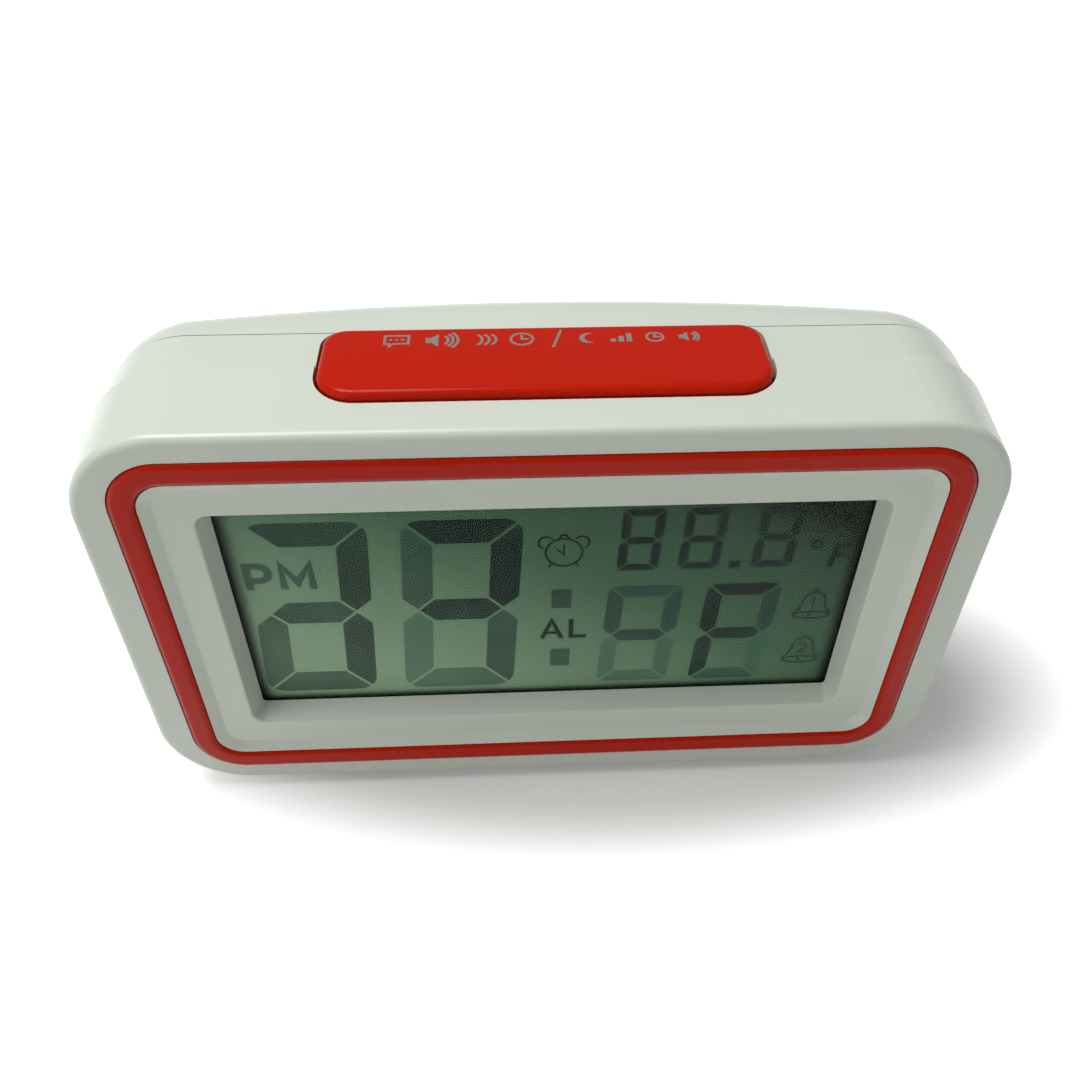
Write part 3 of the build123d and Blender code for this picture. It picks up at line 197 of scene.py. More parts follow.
def bump(tree: Tree, height: Socket, depth_mm: float) -> Socket:
    """Turns a height from 0 to 1 into relief this many millimetres deep."""
    return add_node(tree, "Bump", {"Height": height, "Distance": depth_mm * MM}).outputs[0]


@dataclass(frozen=True)
class Finish:
    """One material, named for what it is, and how its shader's inputs are worked out."""

    name: str

    def inputs(self, tree: Tree, place: Socket) -> Inputs:
        """Gives the shader's inputs.

        Args:
            tree: The material's node tree.
            place: The object's own coordinates, which every texture reads.

        Returns:
            A value or a socket for each input by name.
        """
        raise NotImplementedError

    def shader(self, tree: Tree, place: Socket) -> Socket:
        """Adds the shader that the surface shows."""
        return add_node(tree, "BsdfPrincipled", self.inputs(tree, place)).outputs[0]

    def build(self) -> Material:
        """Makes the material."""
        material, tree, surface = blank_material(self.name)
        place = add_node(tree, "TexCoord").outputs["Object"]
        tree.links.new(self.shader(tree, place), surface)
        return material


@dataclass(frozen=True)
class MouldedPlastic(Finish):
    """Injection-moulded plastic: one colour, faint flow clouds and the grain of the mould."""

    colour: str
    cloud: str
    cloud_mm: float = 35.0
    roughness: float = 0.36
    roughness_spread: float = 0.07
    grain_mm: float = 0.35
    grain_depth_mm: float = 0.004
    ior: float = 1.53

    def inputs(self, tree: Tree, place: Socket) -> Inputs:
        """Lets clouds change the colour, grain the surface, and both the roughness."""
        cloud = noise(tree, place, self.cloud_mm, 3.0)
        grain = noise(tree, place, self.grain_mm, 2.0, 0.6)
        halves = (work_out(tree, "MULTIPLY", value, 0.5) for value in (cloud, grain))
        both = work_out(tree, "ADD", *halves)
        low, high = around(self.roughness, self.roughness_spread)
        return {
            "Base Color": blend_colours(tree, cloud, linear(self.colour), linear(self.cloud)),
            "Roughness": span(tree, both, low, high, NOISE_LOW, NOISE_HIGH),
            "IOR": self.ior,
            "Normal": bump(tree, grain, self.grain_depth_mm),
        }


@dataclass(frozen=True)
class PlatedMetal(Finish):
    """Plated or drawn metal: fine streaks along one axis change its roughness and its surface."""

    colour: str
    dull: str
    roughness: float = 0.3
    roughness_share: float = 0.3
    streak_mm: Triple = (0.08, 0.08, 2.0)
    streak_depth_mm: float = 0.002

    def inputs(self, tree: Tree, place: Socket) -> Inputs:
        """Lets noise that is stretched along the streaks drive colour, roughness and bump."""
        stretch = {"Vector": place, "Scale": [per_metre(size) for size in self.streak_mm]}
        streaks = add_node(tree, "Mapping", stretch).outputs[0]
        grain_in = {"Vector": streaks, "Scale": 1.0, "Detail": 3.0}
        grain = add_node(tree, "TexNoise", grain_in).outputs[0]
        rubbed = around(self.roughness, self.roughness * self.roughness_share)
        return {
            "Base Color": blend_colours(tree, grain, linear(self.colour), linear(self.dull)),
            "Roughness": span(tree, grain, *rubbed),
            "Metallic": 1.0,
            "Normal": bump(tree, grain, self.streak_depth_mm),
        }


@dataclass(frozen=True)
class ClearSheet(Finish):
    """Clear acrylic or glass: it bends and mirrors light, and lets the lamps through."""

    tint: str
    ior: float
    roughness: float = 0.03
    roughness_share: float = 0.5
    smear_mm: float = 9.0

    def inputs(self, tree: Tree, place: Socket) -> Inputs:
        """Lets faint smears change the roughness of a clear sheet."""
        smear = noise(tree, place, self.smear_mm)
        touched = around(self.roughness, self.roughness * self.roughness_share)
        return {
            "Base Color": linear(self.tint),
            "Roughness": span(tree, smear, *touched),
            "IOR": self.ior,
            "Transmission Weight": 1.0,
        }

    def shader(self, tree: Tree, place: Socket) -> Socket:
        """Adds the clear shader, and a see-through one for rays from the lamps."""
        clear = super().shader(tree, place)
        open_to_lamps = add_node(tree, "BsdfTransparent", {"Color": linear(self.tint)}).outputs[0]
        from_lamp = add_node(tree, "LightPath").outputs["Is Shadow Ray"]
        return add_node(tree, "MixShader", {0: from_lamp, 1: clear, 2: open_to_lamps}).outputs[0]


@dataclass(frozen=True)
class PaintedDisplayShade:
    """Painted shade on the display: darker to one upper corner, and a dark rim with painted frame
    shadow at its edges.
    """

    centre_z: float
    # painted shade: the olive film darkens to near black towards the upper right
    stops: tuple[tuple[float, str], ...] = (
        (0.15, "#71886f"),
        (0.6, "#35533c"),
        (0.89, "#243a2b"),
        (1.0, "#010b02"),
    )
    # the dark rim of the viewing area together with the window frame's painted shadow inside its
    # edges
    edge: str = "#0a160b"
    half_width_mm: float = 42.2
    half_height_mm: float = 19.4
    drop_mm: float = 0.9
    rim_and_shadow_mm: float = 2.2
    corner_mm: float = 1.5
    across: float = 0.62
    upwards: float = 0.55
    cloud_mm: float = 16.0
    cloud_share: float = 0.12

    def colour(self, tree: Tree, place: Socket) -> Socket:
        """Makes the background's colour at each point, painted shade included.

        Formula: slope = 0.62 x / half width + 0.55 z / half height, plus a faint cloud, runs from
        the lower left to the upper right, and four colours follow half the slope plus a half,
        darkening as painted shade. Near the edges, the distance to the nearest one fades the result
        to the colour of the dark rim and the window frame's painted shadow.

        Args:
            tree: Node tree of the material that needs it.
            place: The object's own coordinates.

        Returns:
            The colour's socket.
        """
        axes = add_node(tree, "SeparateXYZ", {0: place}).outputs
        right = work_out(tree, "DIVIDE", axes[0], self.half_width_mm * MM)
        height = work_out(tree, "SUBTRACT", axes[2], self.centre_z - self.drop_mm * MM)
        up = work_out(tree, "DIVIDE", height, self.half_height_mm * MM)
        rightwards = work_out(tree, "MULTIPLY", right, self.across)
        slope = work_out(tree, "ADD", rightwards, work_out(tree, "MULTIPLY", up, self.upwards))
        cloud = work_out(tree, "SUBTRACT", noise(tree, place, self.cloud_mm, 1.0), 0.5)
        slope = work_out(tree, "ADD", slope, work_out(tree, "MULTIPLY", cloud, self.cloud_share))
        share = work_out(tree, "MULTIPLY_ADD", slope, 0.5, 0.5)
        colour = colour_steps(tree, share, self.stops, "LINEAR")
        out, off = (work_out(tree, "ABSOLUTE", value) for value in (axes[0], height))
        side = work_out(tree, "SUBTRACT", self.half_width_mm * MM, out)
        end = work_out(tree, "SUBTRACT", self.half_height_mm * MM, off)
        nearest = work_out(tree, "SMOOTH_MIN", side, end, self.corner_mm * MM)
        # painted shadow of the window frame, with the dark rim, near the edges
        rim_and_shadow_share = span(tree, nearest, 1.0, 0.0, 0.0, self.rim_and_shadow_mm * MM, "SMOOTHSTEP")
        return blend_colours(tree, rim_and_shadow_share, colour, linear(self.edge))


def colour_steps(
    tree: Tree, value: Socket, stops: Sequence[tuple[float, str]], kind: str
) -> Socket:
    """Adds a colour ramp.

    Args:
        tree: Node tree that it goes in.
        value: What picks the colour.
        stops: Positions from 0 to 1 in rising order, each with its sRGB hex colour.
        kind: Blender's name for how the colours run into each other.

    Returns:
        The colour's socket.
    """
    ramp = add_node(tree, "ValToRGB", {"Fac": value})
    ramp.color_ramp.interpolation = kind
    points = ramp.color_ramp.elements
    for point, (position, shade) in zip(points, (stops[0], stops[-1])):
        point.position, point.color = position, linear(shade)
    for position, shade in stops[1:-1]:
        points.new(position).color = linear(shade)
    return ramp.outputs[0]


@dataclass(frozen=True)
class PolarisingFilm(Finish):
    """The olive front film of the display: satin, with the display's painted shade and frame shadow
    in its colour.
    """

    shade: PaintedDisplayShade
    roughness: float = 0.6
    grain_mm: float = 0.9
    grain_depth_mm: float = 0.001
    ior: float = 1.12

    def inputs(self, tree: Tree, place: Socket) -> Inputs:
        """Puts the display's painted shade under a satin surface with a very fine grain."""
        return {
            "Base Color": self.shade.colour(tree, place),
            "Roughness": self.roughness,
            "IOR": self.ior,
            "Normal": bump(tree, noise(tree, place, self.grain_mm), self.grain_depth_mm),
        }


@dataclass(frozen=True)
class LiquidCrystal(Finish):
    """A switched-on mark: it darkens the display's painted shade as far as it is driven."""

    shade: PaintedDisplayShade
    full: str = "#02100d"
    faint: str = "#2f5a4c"
    roughness: float = 0.6
    ior: float = 1.12
    cloud_mm: float = 7.0
    cloud_share: float = 0.2
    least: float = 0.3
    most: float = 0.95

    def inputs(self, tree: Tree, place: Socket) -> Inputs:
        """Lets the piece's drive attribute set how dark each mark is."""
        drive = add_node(tree, "Attribute", attribute_name="drive").outputs["Fac"]
        cloud = work_out(tree, "SUBTRACT", noise(tree, place, self.cloud_mm, 1.0), 0.5)
        uneven = work_out(tree, "MULTIPLY", cloud, self.cloud_share)
        total = add_node(tree, "Math", {0: drive, 1: uneven}, operation="ADD", use_clamp=True)
        share = total.outputs[0]
        ink = blend_colours(tree, share, linear(self.faint), linear(self.full))
        # the film's colour with its painted shade and frame shadow, which the marks darken further
        behind = self.shade.colour(tree, place)
        darker = blend_colours(tree, 1.0, behind, ink, "DARKEN")
        colour = blend_colours(tree, span(tree, share, self.least, self.most), behind, darker)
        return {"Base Color": colour, "Roughness": self.roughness, "IOR": self.ior}


@dataclass(frozen=True)
class PadPrint(Finish):
    """Pad-printed ink: thin, nearly even, a little rough where the pad lifted."""

    colour: str
    thin: str
    pad_mm: float = 0.5
    smooth: float = 0.35
    rough: float = 0.6

    def inputs(self, tree: Tree, place: Socket) -> Inputs:
        """Lets noise of the pad's texture thin the ink here and there."""
        pad = noise(tree, place, self.pad_mm, 3.0)
        colour = blend_colours(tree, pad, linear(self.colour), linear(self.thin))
        return {"Base Color": colour, "Roughness": span(tree, pad, self.smooth, self.rough)}


@dataclass(frozen=True)
class CircuitLaminate(Finish):
    """Glass-epoxy board under green mask: copper tracks show as paler raised lines."""

    mask: str = "#0d4a24"
    track: str = "#1d6b39"
    track_mm: float = 3.2
    track_edges: Pair = (0.06, 0.1)
    track_depth_mm: float = 0.02
    roughness: float = 0.28
    coat: float = 0.3

    def inputs(self, tree: Tree, place: Socket) -> Inputs:
        """Makes tracks of the borders between uneven cells."""
        cells_in = {"Vector": place, "Scale": per_metre(self.track_mm), "Randomness": 0.8}
        cells = add_node(tree, "TexVoronoi", cells_in, feature="DISTANCE_TO_EDGE")
        bare = span(tree, cells.outputs["Distance"], 0.0, 1.0, *self.track_edges)
        return {
            "Base Color": blend_colours(tree, bare, linear(self.track), linear(self.mask)),
            "Roughness": self.roughness,
            "Normal": bump(tree, bare, -self.track_depth_mm),
            "Coat Weight": self.coat,
        }


@dataclass(frozen=True)
class CellJacket(Finish):
    """A cell's printed can: bare ends, a dark jacket and a copper band at the positive end."""

    minus_x: float
    plus_x: float
    steel: str = "#b9b7b0"
    jacket: str = "#20302c"
    band: str = "#b06a33"
    jacket_start: float = 0.02
    band_start: float = 0.72
    band_end: float = 0.96
    scuff_mm: float = 1.5
    scuffed: Pair = (0.18, 0.38)
    print_metal: float = 0.55

    def inputs(self, tree: Tree, place: Socket) -> Inputs:
        """Lets steps along the cell's length pick the colour and how metallic it is."""
        along = add_node(tree, "SeparateXYZ", {0: place}).outputs[0]
        share = span(tree, along, 0.0, 1.0, self.minus_x, self.plus_x)
        starts = (0.0, self.jacket_start, self.band_start, self.band_end)
        stops = tuple(zip(starts, (self.steel, self.jacket, self.band, self.steel)))
        minus_end = work_out(tree, "LESS_THAN", share, self.jacket_start)
        plus_end = work_out(tree, "GREATER_THAN", share, self.band_end)
        bare = work_out(tree, "ADD", minus_end, plus_end)
        return {
            "Base Color": colour_steps(tree, share, stops, "CONSTANT"),
            "Roughness": span(tree, noise(tree, place, self.scuff_mm, 4.0), *self.scuffed),
            "Metallic": work_out(tree, "MAXIMUM", bare, self.print_metal),
        }


@dataclass(frozen=True)
class WovenCloth(Finish):
    """Acoustic cloth: black threads over and under, which show through the grille."""

    thread: str = "#1b1b1c"
    shadow: str = "#050505"
    spacing_mm: float = 0.45
    depth_mm: float = 0.08
    roughness: float = 0.85
    sheen: float = 0.2

    def inputs(self, tree: Tree, place: Socket) -> Inputs:
        """Crosses two waves, which give the weave."""
        threads = (wave(tree, place, self.spacing_mm, axis) for axis in "XZ")
        weave = work_out(tree, "MULTIPLY", *threads)
        return {
            "Base Color": blend_colours(tree, weave, linear(self.shadow), linear(self.thread)),
            "Roughness": self.roughness,
            "Normal": bump(tree, weave, self.depth_mm),
            "Sheen Weight": self.sheen,
        }


@dataclass(frozen=True)
class RibbedSheet(Finish):
    """Formed sheet or ribbon with even parallel lines, such as a flat cable's cores; painted shade
    darkens the troughs.
    """

    crest: str
    painted_trough_shade: str
    pitch_mm: float
    axis: str
    depth_mm: float = 0.05
    roughness: float = 0.4
    distortion: float = 0.1

    def inputs(self, tree: Tree, place: Socket) -> Inputs:
        """Lets one wave across the ribs drive colour and bump."""
        ribs = wave(tree, place, self.pitch_mm, self.axis, self.distortion)
        return {
            # painted shade: the troughs between the ribs get the darker colour
            "Base Color": blend_colours(tree, ribs, linear(self.painted_trough_shade), linear(self.crest)),
            "Roughness": self.roughness,
            "Normal": bump(tree, ribs, self.depth_mm),
        }


# White ABS from a spark-eroded mould: semi-gloss, faintly green, a very fine grain.
WHITE_ABS = MouldedPlastic(
    "white_abs_semigloss", "#dbe2d6", "#d0d8cb", roughness=0.34, grain_depth_mm=0.003
)
# Red ABS from a polished mould: deep, a trace of orange peel, its index matched to the photo.
RED_ABS = MouldedPlastic(
    "red_abs_polished",
    "#c62002",
    "#ba1800",
    roughness=0.2,
    roughness_spread=0.04,
    grain_mm=1.6,
    grain_depth_mm=0.003,
    ior=1.22,
)
# Moulded EPDM rubber: matt black, with the open grain of a tumbled part.
FOOT_RUBBER = MouldedPlastic(
    "epdm_rubber_matt",
    "#17181a",
    "#222426",
    roughness=0.82,
    grain_mm=0.25,
    grain_depth_mm=0.02,
    ior=1.5,
)
# Matt white ABS: the soft, shadowless look of a part that nobody sees.
HOLDER_ABS = MouldedPlastic("white_abs_matt", "#cfd2cc", "#c3c7c0", roughness=0.55)
# Silicone rubber: dull pink, like an eraser.
CONTACT_RUBBER = MouldedPlastic("silicone_rubber_pink", "#c98a90", "#b87880", roughness=0.6)
# Poured epoxy resin: black and slightly wet.
BLACK_EPOXY = MouldedPlastic("epoxy_resin_black", "#0b0b0c", "#131314", roughness=0.3, grain_mm=0.2)
# Shrink sleeve: dark blue film drawn tight, with a soft gloss.
CAPACITOR_SLEEVE = MouldedPlastic("shrink_sleeve_navy", "#101a3a", "#0c1430", roughness=0.3)
# Fired ceramic with a resistive film: near black, mottled in small spots.
FIRED_CERAMIC = MouldedPlastic(
    "thick_film_ceramic", "#141311", "#24211d", roughness=0.45, cloud_mm=1.2
)
# Black nylon: a satin that takes the edge off every highlight.
SWITCH_NYLON = MouldedPlastic("nylon_black_moulded", "#121212", "#1c1c1c", roughness=0.5)
# Undyed nylon: the cream of bone, satin.
STEM_NYLON = MouldedPlastic("nylon_natural_moulded", "#d8d3c0", "#cbc5b0", roughness=0.45)
# Extruded vinyl: red insulation with a waxy gloss.
WIRE_VINYL = MouldedPlastic("vinyl_red_extruded", "#a01510", "#8c100c", roughness=0.35)
# Sintered ferrite: charcoal grey, dry and pitted.
FERRITE = MouldedPlastic(
    "ferrite_sintered", "#232325", "#2f2f31", cloud_mm=2.0, roughness=0.62, grain_depth_mm=0.02
)
# Bright zinc plating: a cool grey shine with fine streaks.
ZINC_STEEL = PlatedMetal("zinc_plated_steel", "#b9bab6", "#8f918e", roughness=0.28)
# Drawn music wire: grey steel with die marks round the coil.
SPRING_WIRE = PlatedMetal(
    "music_wire_drawn", "#a6a6a4", "#7d7d7b", roughness=0.3, streak_mm=(0.5, 0.5, 0.06)
)
# Nickel plating on bronze: a warm, nearly mirror-like shine.
NICKEL = PlatedMetal("nickel_plated_bronze", "#c4bfb2", "#a49f92", roughness=0.2)
# A tinned can: bright, rubbed along its length.
TINNED_CAN = PlatedMetal(
    "tinned_can_bright", "#c8c8c5", "#a9a9a7", roughness=0.22, streak_mm=(2.0, 0.1, 0.1)
)
# Pressed and plated sheet steel: duller than the screws.
PRESSED_STEEL = PlatedMetal("pressed_steel_zinc", "#a7a8a5", "#83857f", roughness=0.36)
# Aluminised film: a soft silver-green sheen without streaks.
MIRROR_FILM = PlatedMetal(
    "aluminised_film", "#a9b0a0", "#8d947f", roughness=0.5, streak_mm=(0.3, 0.3, 0.3)
)
# Clear acrylic sheet: its index is matched to the photo's window, which mirrors very little.
CLEAR_ACRYLIC = ClearSheet("acrylic_clear_polished", "#fbfdfb", 1.12, roughness=0.0)
# Soda-lime glass: clear, faintly green.
DISPLAY_GLASS = ClearSheet("soda_lime_glass", "#e6f2ea", 1.52)
# Circuit board: glossy green mask with paler tracks under it.
BOARD_LAMINATE = CircuitLaminate("green_mask_laminate")
# Flat vinyl cable: grey, with a groove between its cores that is painted darker as shade.
FLAT_CABLE = RibbedSheet("vinyl_flat_cable_grey", "#9a9a9c", "#6d6d70", 1.27, "X")
# Formed polyester film: black and springy, with pressed ribs whose troughs are painted darker as
# shade.
CONE_FILM = RibbedSheet(
    "polyester_film_cone", "#26262a", "#141417", 1.6, "X", depth_mm=0.1, roughness=0.35
)
# Acoustic cloth: black and open, it swallows the light behind the grille.
SPEAKER_CLOTH = WovenCloth("acoustic_cloth_black")
# Grey pad print on red: flat, a little chalky.
GREY_PRINT = PadPrint("pad_print_grey", "#8f8f88", "#7b7b74")
# Slate pad print on white: flat and quiet.
REAR_PRINT = PadPrint("pad_print_slate", "#6d726c", "#7d827b")


@cache
def made_of(finish: Finish) -> Material:
    """Gives a finish's material, which is made the first time that it is asked for."""
    return finish.build()


def dress(**finishes: Finish) -> None:
    """Gives CAD nodes, by name, a better material in each of their slots."""
    for node, finish in finishes.items():
        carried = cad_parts[node]
        if not carried.material_slots:
            carried.data.materials.append(made_of(finish))
        for held in carried.material_slots:
            held.material = made_of(finish)
        log.info("%s: dressed in %s", node, finish.name)


@dataclass(frozen=True)
class Area:
    """A filled shape: its corners in millimetres, anticlockwise, and how dark it is driven."""

    corners: np.ndarray
    drive: float = 1.0

    def flat(self) -> tuple[np.ndarray, list[list[int]], list[np.ndarray]]:
        """Gives the shape's points, its one face and its one border."""
        ring = np.arange(len(self.corners))
        return self.corners, [ring.tolist()], [ring]


@dataclass(frozen=True)
class Line:
    """A line of one width along a path in millimetres, and how dark it is driven."""

    path: np.ndarray
    width: float
    closed: bool = False
    drive: float = 1.0

    def flat(self) -> tuple[np.ndarray, list[list[int]], list[np.ndarray]]:
        """Gives the line's points, faces and borders.

        Formula: each point of the path moves half the width to either side, square to the mean of
        the directions before and after it, and further by one over the cosine of half the turn, up
        to a limit. An open line's ends also move out by half the width.

        Returns:
            Points, quads between the two sides, and the border loops, anticlockwise round the ink.
        """
        path = np.asarray(self.path, float)
        half = self.width / 2
        if self.closed:
            before, after = path - np.roll(path, 1, 0), np.roll(path, -1, 0) - path
        else:
            steps = np.diff(path, axis=0)
            steps /= np.linalg.norm(steps, axis=1, keepdims=True)
            first, last = path[:1] - steps[:1] * half, path[-1:] + steps[-1:] * half
            path = np.vstack([first, path[1:-1], last])
            steps = np.diff(path, axis=0)
            before, after = np.vstack([steps[:1], steps]), np.vstack([steps, steps[-1:]])
        before /= np.linalg.norm(before, axis=1, keepdims=True)
        after /= np.linalg.norm(after, axis=1, keepdims=True)
        mean = before + after
        mean /= np.maximum(np.linalg.norm(mean, axis=1, keepdims=True), TINY)
        square = np.stack([-mean[:, 1], mean[:, 0]], 1)
        turn = np.clip((mean * after).sum(1, keepdims=True), SHARPEST, 1.0)
        offset = square * half / turn
        count = len(path)
        points = np.vstack([path - offset, path + offset])
        here = np.arange(count if self.closed else count - 1)
        there = (here + 1) % count
        quads = np.stack([here, there, there + count, here + count], 1)
        right, left = np.arange(count), np.arange(count)[::-1] + count
        loops = [right, left] if self.closed else [np.concatenate([right, left])]
        return points, quads.tolist(), loops


Shape = Area | Line


@dataclass(frozen=True)
class FlatSurface:
    """A plane given by an origin in metres and the directions of the art's right and up."""

    origin: Triple
    right: Triple
    up: Triple

    def lay(self, flat: np.ndarray, lift_mm: float) -> np.ndarray:
        """Gives origin + x right + y up + lift out, where out is right crossed with up."""
        right, up = np.array(self.right, float), np.array(self.up, float)
        out = np.cross(right, up)
        return np.array(self.origin) + (flat[:, :1] * right + flat[:, 1:] * up + lift_mm * out) * MM


@dataclass(frozen=True)
class BowedBack:
    """The case's back, a cylinder about a vertical axis, seen from behind: art runs towards -X."""

    centre_x: float
    centre_z: float
    back_y: float
    radius: float = 0.3

    def lay(self, flat: np.ndarray, lift_mm: float) -> np.ndarray:
        """Gives points on the cylinder: y = back - radius + root of (radius + lift)^2 - x^2."""
        x = self.centre_x - flat[:, 0] * MM
        z = self.centre_z + flat[:, 1] * MM
        reach = self.radius + lift_mm * MM
        return np.stack([x, self.back_y - self.radius + np.sqrt(reach**2 - x**2), z], 1)


Surface = FlatSurface | BowedBack  # what flat art in millimetres is laid on, at a lift above it


def put_mesh(name: str, points: np.ndarray, faces: Sequence[Sequence[int]], smooth: bool) -> Piece:
    """Makes an object at the origin from points and faces.

    Args:
        name: The piece's name.
        points: Its vertices in metres.
        faces: Corner numbers of each face, anticlockwise from outside.
        smooth: True for a rounded surface.

    Returns:
        The object, linked to the scene.
    """
    mesh = bpy.data.meshes.new(name)
    mesh.from_pydata(points.tolist(), [], [list(face) for face in faces])
    mesh.validate()
    mesh.shade_smooth() if smooth else mesh.shade_flat()
    made = bpy.data.objects.new(name, mesh)
    bpy.context.scene.collection.objects.link(made)
    return made


def settle(piece: Piece, finish: Finish, body: str) -> Piece:
    """Gives a piece its material and body, and reports it.

    Args:
        piece: The finished object.
        finish: What it is made of.
        body: The CAD body that it moves with.

    Returns:
        The same object.
    """
    piece.data.materials.append(made_of(finish))
    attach(piece, body)
    log.info("%s: %d faces, on %s", piece.name, len(piece.data.polygons), body)
    return piece


def lay_art(
    name: str, shapes: Iterable[Shape], surface: Surface, thickness_mm: float, sink_mm: float = 0.0
) -> Piece:
    """Turns flat shapes into one piece of thin raised ink on a surface.

    Each shape is a prism: its flat points lie once at the top and once at the bottom, its faces
    close both, and quads along each border join them.

    Args:
        name: The piece's name.
        shapes: Filled shapes and lines.
        surface: What they lie on.
        thickness_mm: How far their tops stand above it.
        sink_mm: How far their undersides reach into it.

    Returns:
        The object, with each shape's drive as a point attribute.
    """
    points, faces, drives, start = [], [], [], 0
    for shape in shapes:
        flat, tops, loops = shape.flat()
        flat = np.asarray(flat, float)
        count = len(flat)
        points += [surface.lay(flat, thickness_mm), surface.lay(flat, -sink_mm)]
        faces += [[start + i for i in face] for face in tops]
        faces += [[start + count + i for i in reversed(face)] for face in tops]
        for loop in loops:
            here, there = loop + start, np.roll(loop, -1) + start
            faces += np.stack([here, here + count, there + count, there], 1).tolist()
        drives.append(np.full(2 * count, shape.drive, np.float32))
        start += 2 * count
    made = put_mesh(name, np.vstack(points), faces, False)
    marks = made.data.attributes.new("drive", "FLOAT", "POINT")
    marks.data.foreach_set("value", np.concatenate(drives))
    return made


def turn_profile(
    profile: np.ndarray, centres: np.ndarray, axis: np.ndarray, sides: int
) -> tuple[np.ndarray, np.ndarray]:
    """Turns a profile about parallel axes.

    Formula: point = centre + height along the axis + radius (cos a, sin a) square to it, for every
    profile row and every angle a. The profile's first and last radius are 0 or nearly so, which
    closes the ends.

    Args:
        profile: Rows of radius and height in metres, from one end to the other.
        centres: Where each copy's profile starts, in metres.
        axis: The unit direction that heights run along.
        sides: Steps round the axis.

    Returns:
        Points and quads, for all copies.
    """
    side = np.cross(axis, [1.0, 0, 0] if abs(axis[0]) < ALIGNED else [0, 1.0, 0])
    side /= np.linalg.norm(side)
    other = np.cross(axis, side)
    angle = np.linspace(0, 2 * math.pi, sides, endpoint=False)
    ring = np.cos(angle)[:, None] * side + np.sin(angle)[:, None] * other
    turned = profile[:, 0][:, None, None] * ring + profile[:, 1][:, None, None] * axis
    points = (centres[:, None, None, :] + turned[None]).reshape(-1, 3)
    rows = len(profile)
    numbers = np.arange(len(centres)), np.arange(rows - 1), np.arange(sides)
    copy, row, step = np.meshgrid(*numbers, indexing="ij")
    base = copy * rows * sides + row * sides
    after = (step + 1) % sides
    quads = np.stack([base + step, base + after, base + sides + after, base + sides + step], -1)
    return points, quads.reshape(-1, 4)


def arc(centre: Pair, radius: float, start: float, end: float, count: int = 16) -> np.ndarray:
    """Gives points round a circle from one angle to another, in degrees."""
    angle = np.radians(np.linspace(start, end, count))
    return np.array(centre) + radius * np.stack([np.cos(angle), np.sin(angle)], 1)


def circle(centre: Pair, radius: float, count: int = 32) -> np.ndarray:
    """Gives points all round a circle, without repeating the first."""
    return arc(centre, radius, 0, 360, count + 1)[:-1]


def box_shape(left: float, low: float, width: float, height: float) -> np.ndarray:
    """Gives the corners of an upright rectangle, anticlockwise."""
    right, top = left + width, low + height
    return np.array([[left, low], [right, low], [right, top], [left, top]])


def clip(corners: np.ndarray, normal: Pair, limit: float) -> np.ndarray:
    """Cuts a convex shape by a straight line and keeps the side where normal . point >= limit.

    Formula: with d = normal . point - limit, an edge from a to b that changes sides is cut at
    a + (b - a) d_a / (d_a - d_b).

    Args:
        corners: The shape's corners, anticlockwise.
        normal: Direction across the line.
        limit: Where the line lies along it.

    Returns:
        The corners that are left, anticlockwise.
    """
    depth = corners @ np.array(normal) - limit
    after, depth_after = np.roll(corners, -1, 0), np.roll(depth, -1)
    crosses = (depth >= 0) != (depth_after >= 0)
    gap = np.where(crosses, depth - depth_after, 1.0)
    cut = corners + (after - corners) * (depth / gap)[:, None]
    keep = np.stack([depth >= 0, crosses], 1).reshape(-1)
    return np.stack([corners, cut], 1).reshape(-1, 2)[keep]


class Bar(Enum):
    """The seven bars of a figure: how each is the top, upper right or middle bar, turned over."""

    TOP = ("top", False, False)
    UPPER_RIGHT = ("side", False, False)
    LOWER_RIGHT = ("side", False, True)
    BOTTOM = ("top", False, True)
    LOWER_LEFT = ("side", True, True)
    UPPER_LEFT = ("side", True, False)
    MIDDLE = ("middle", False, False)


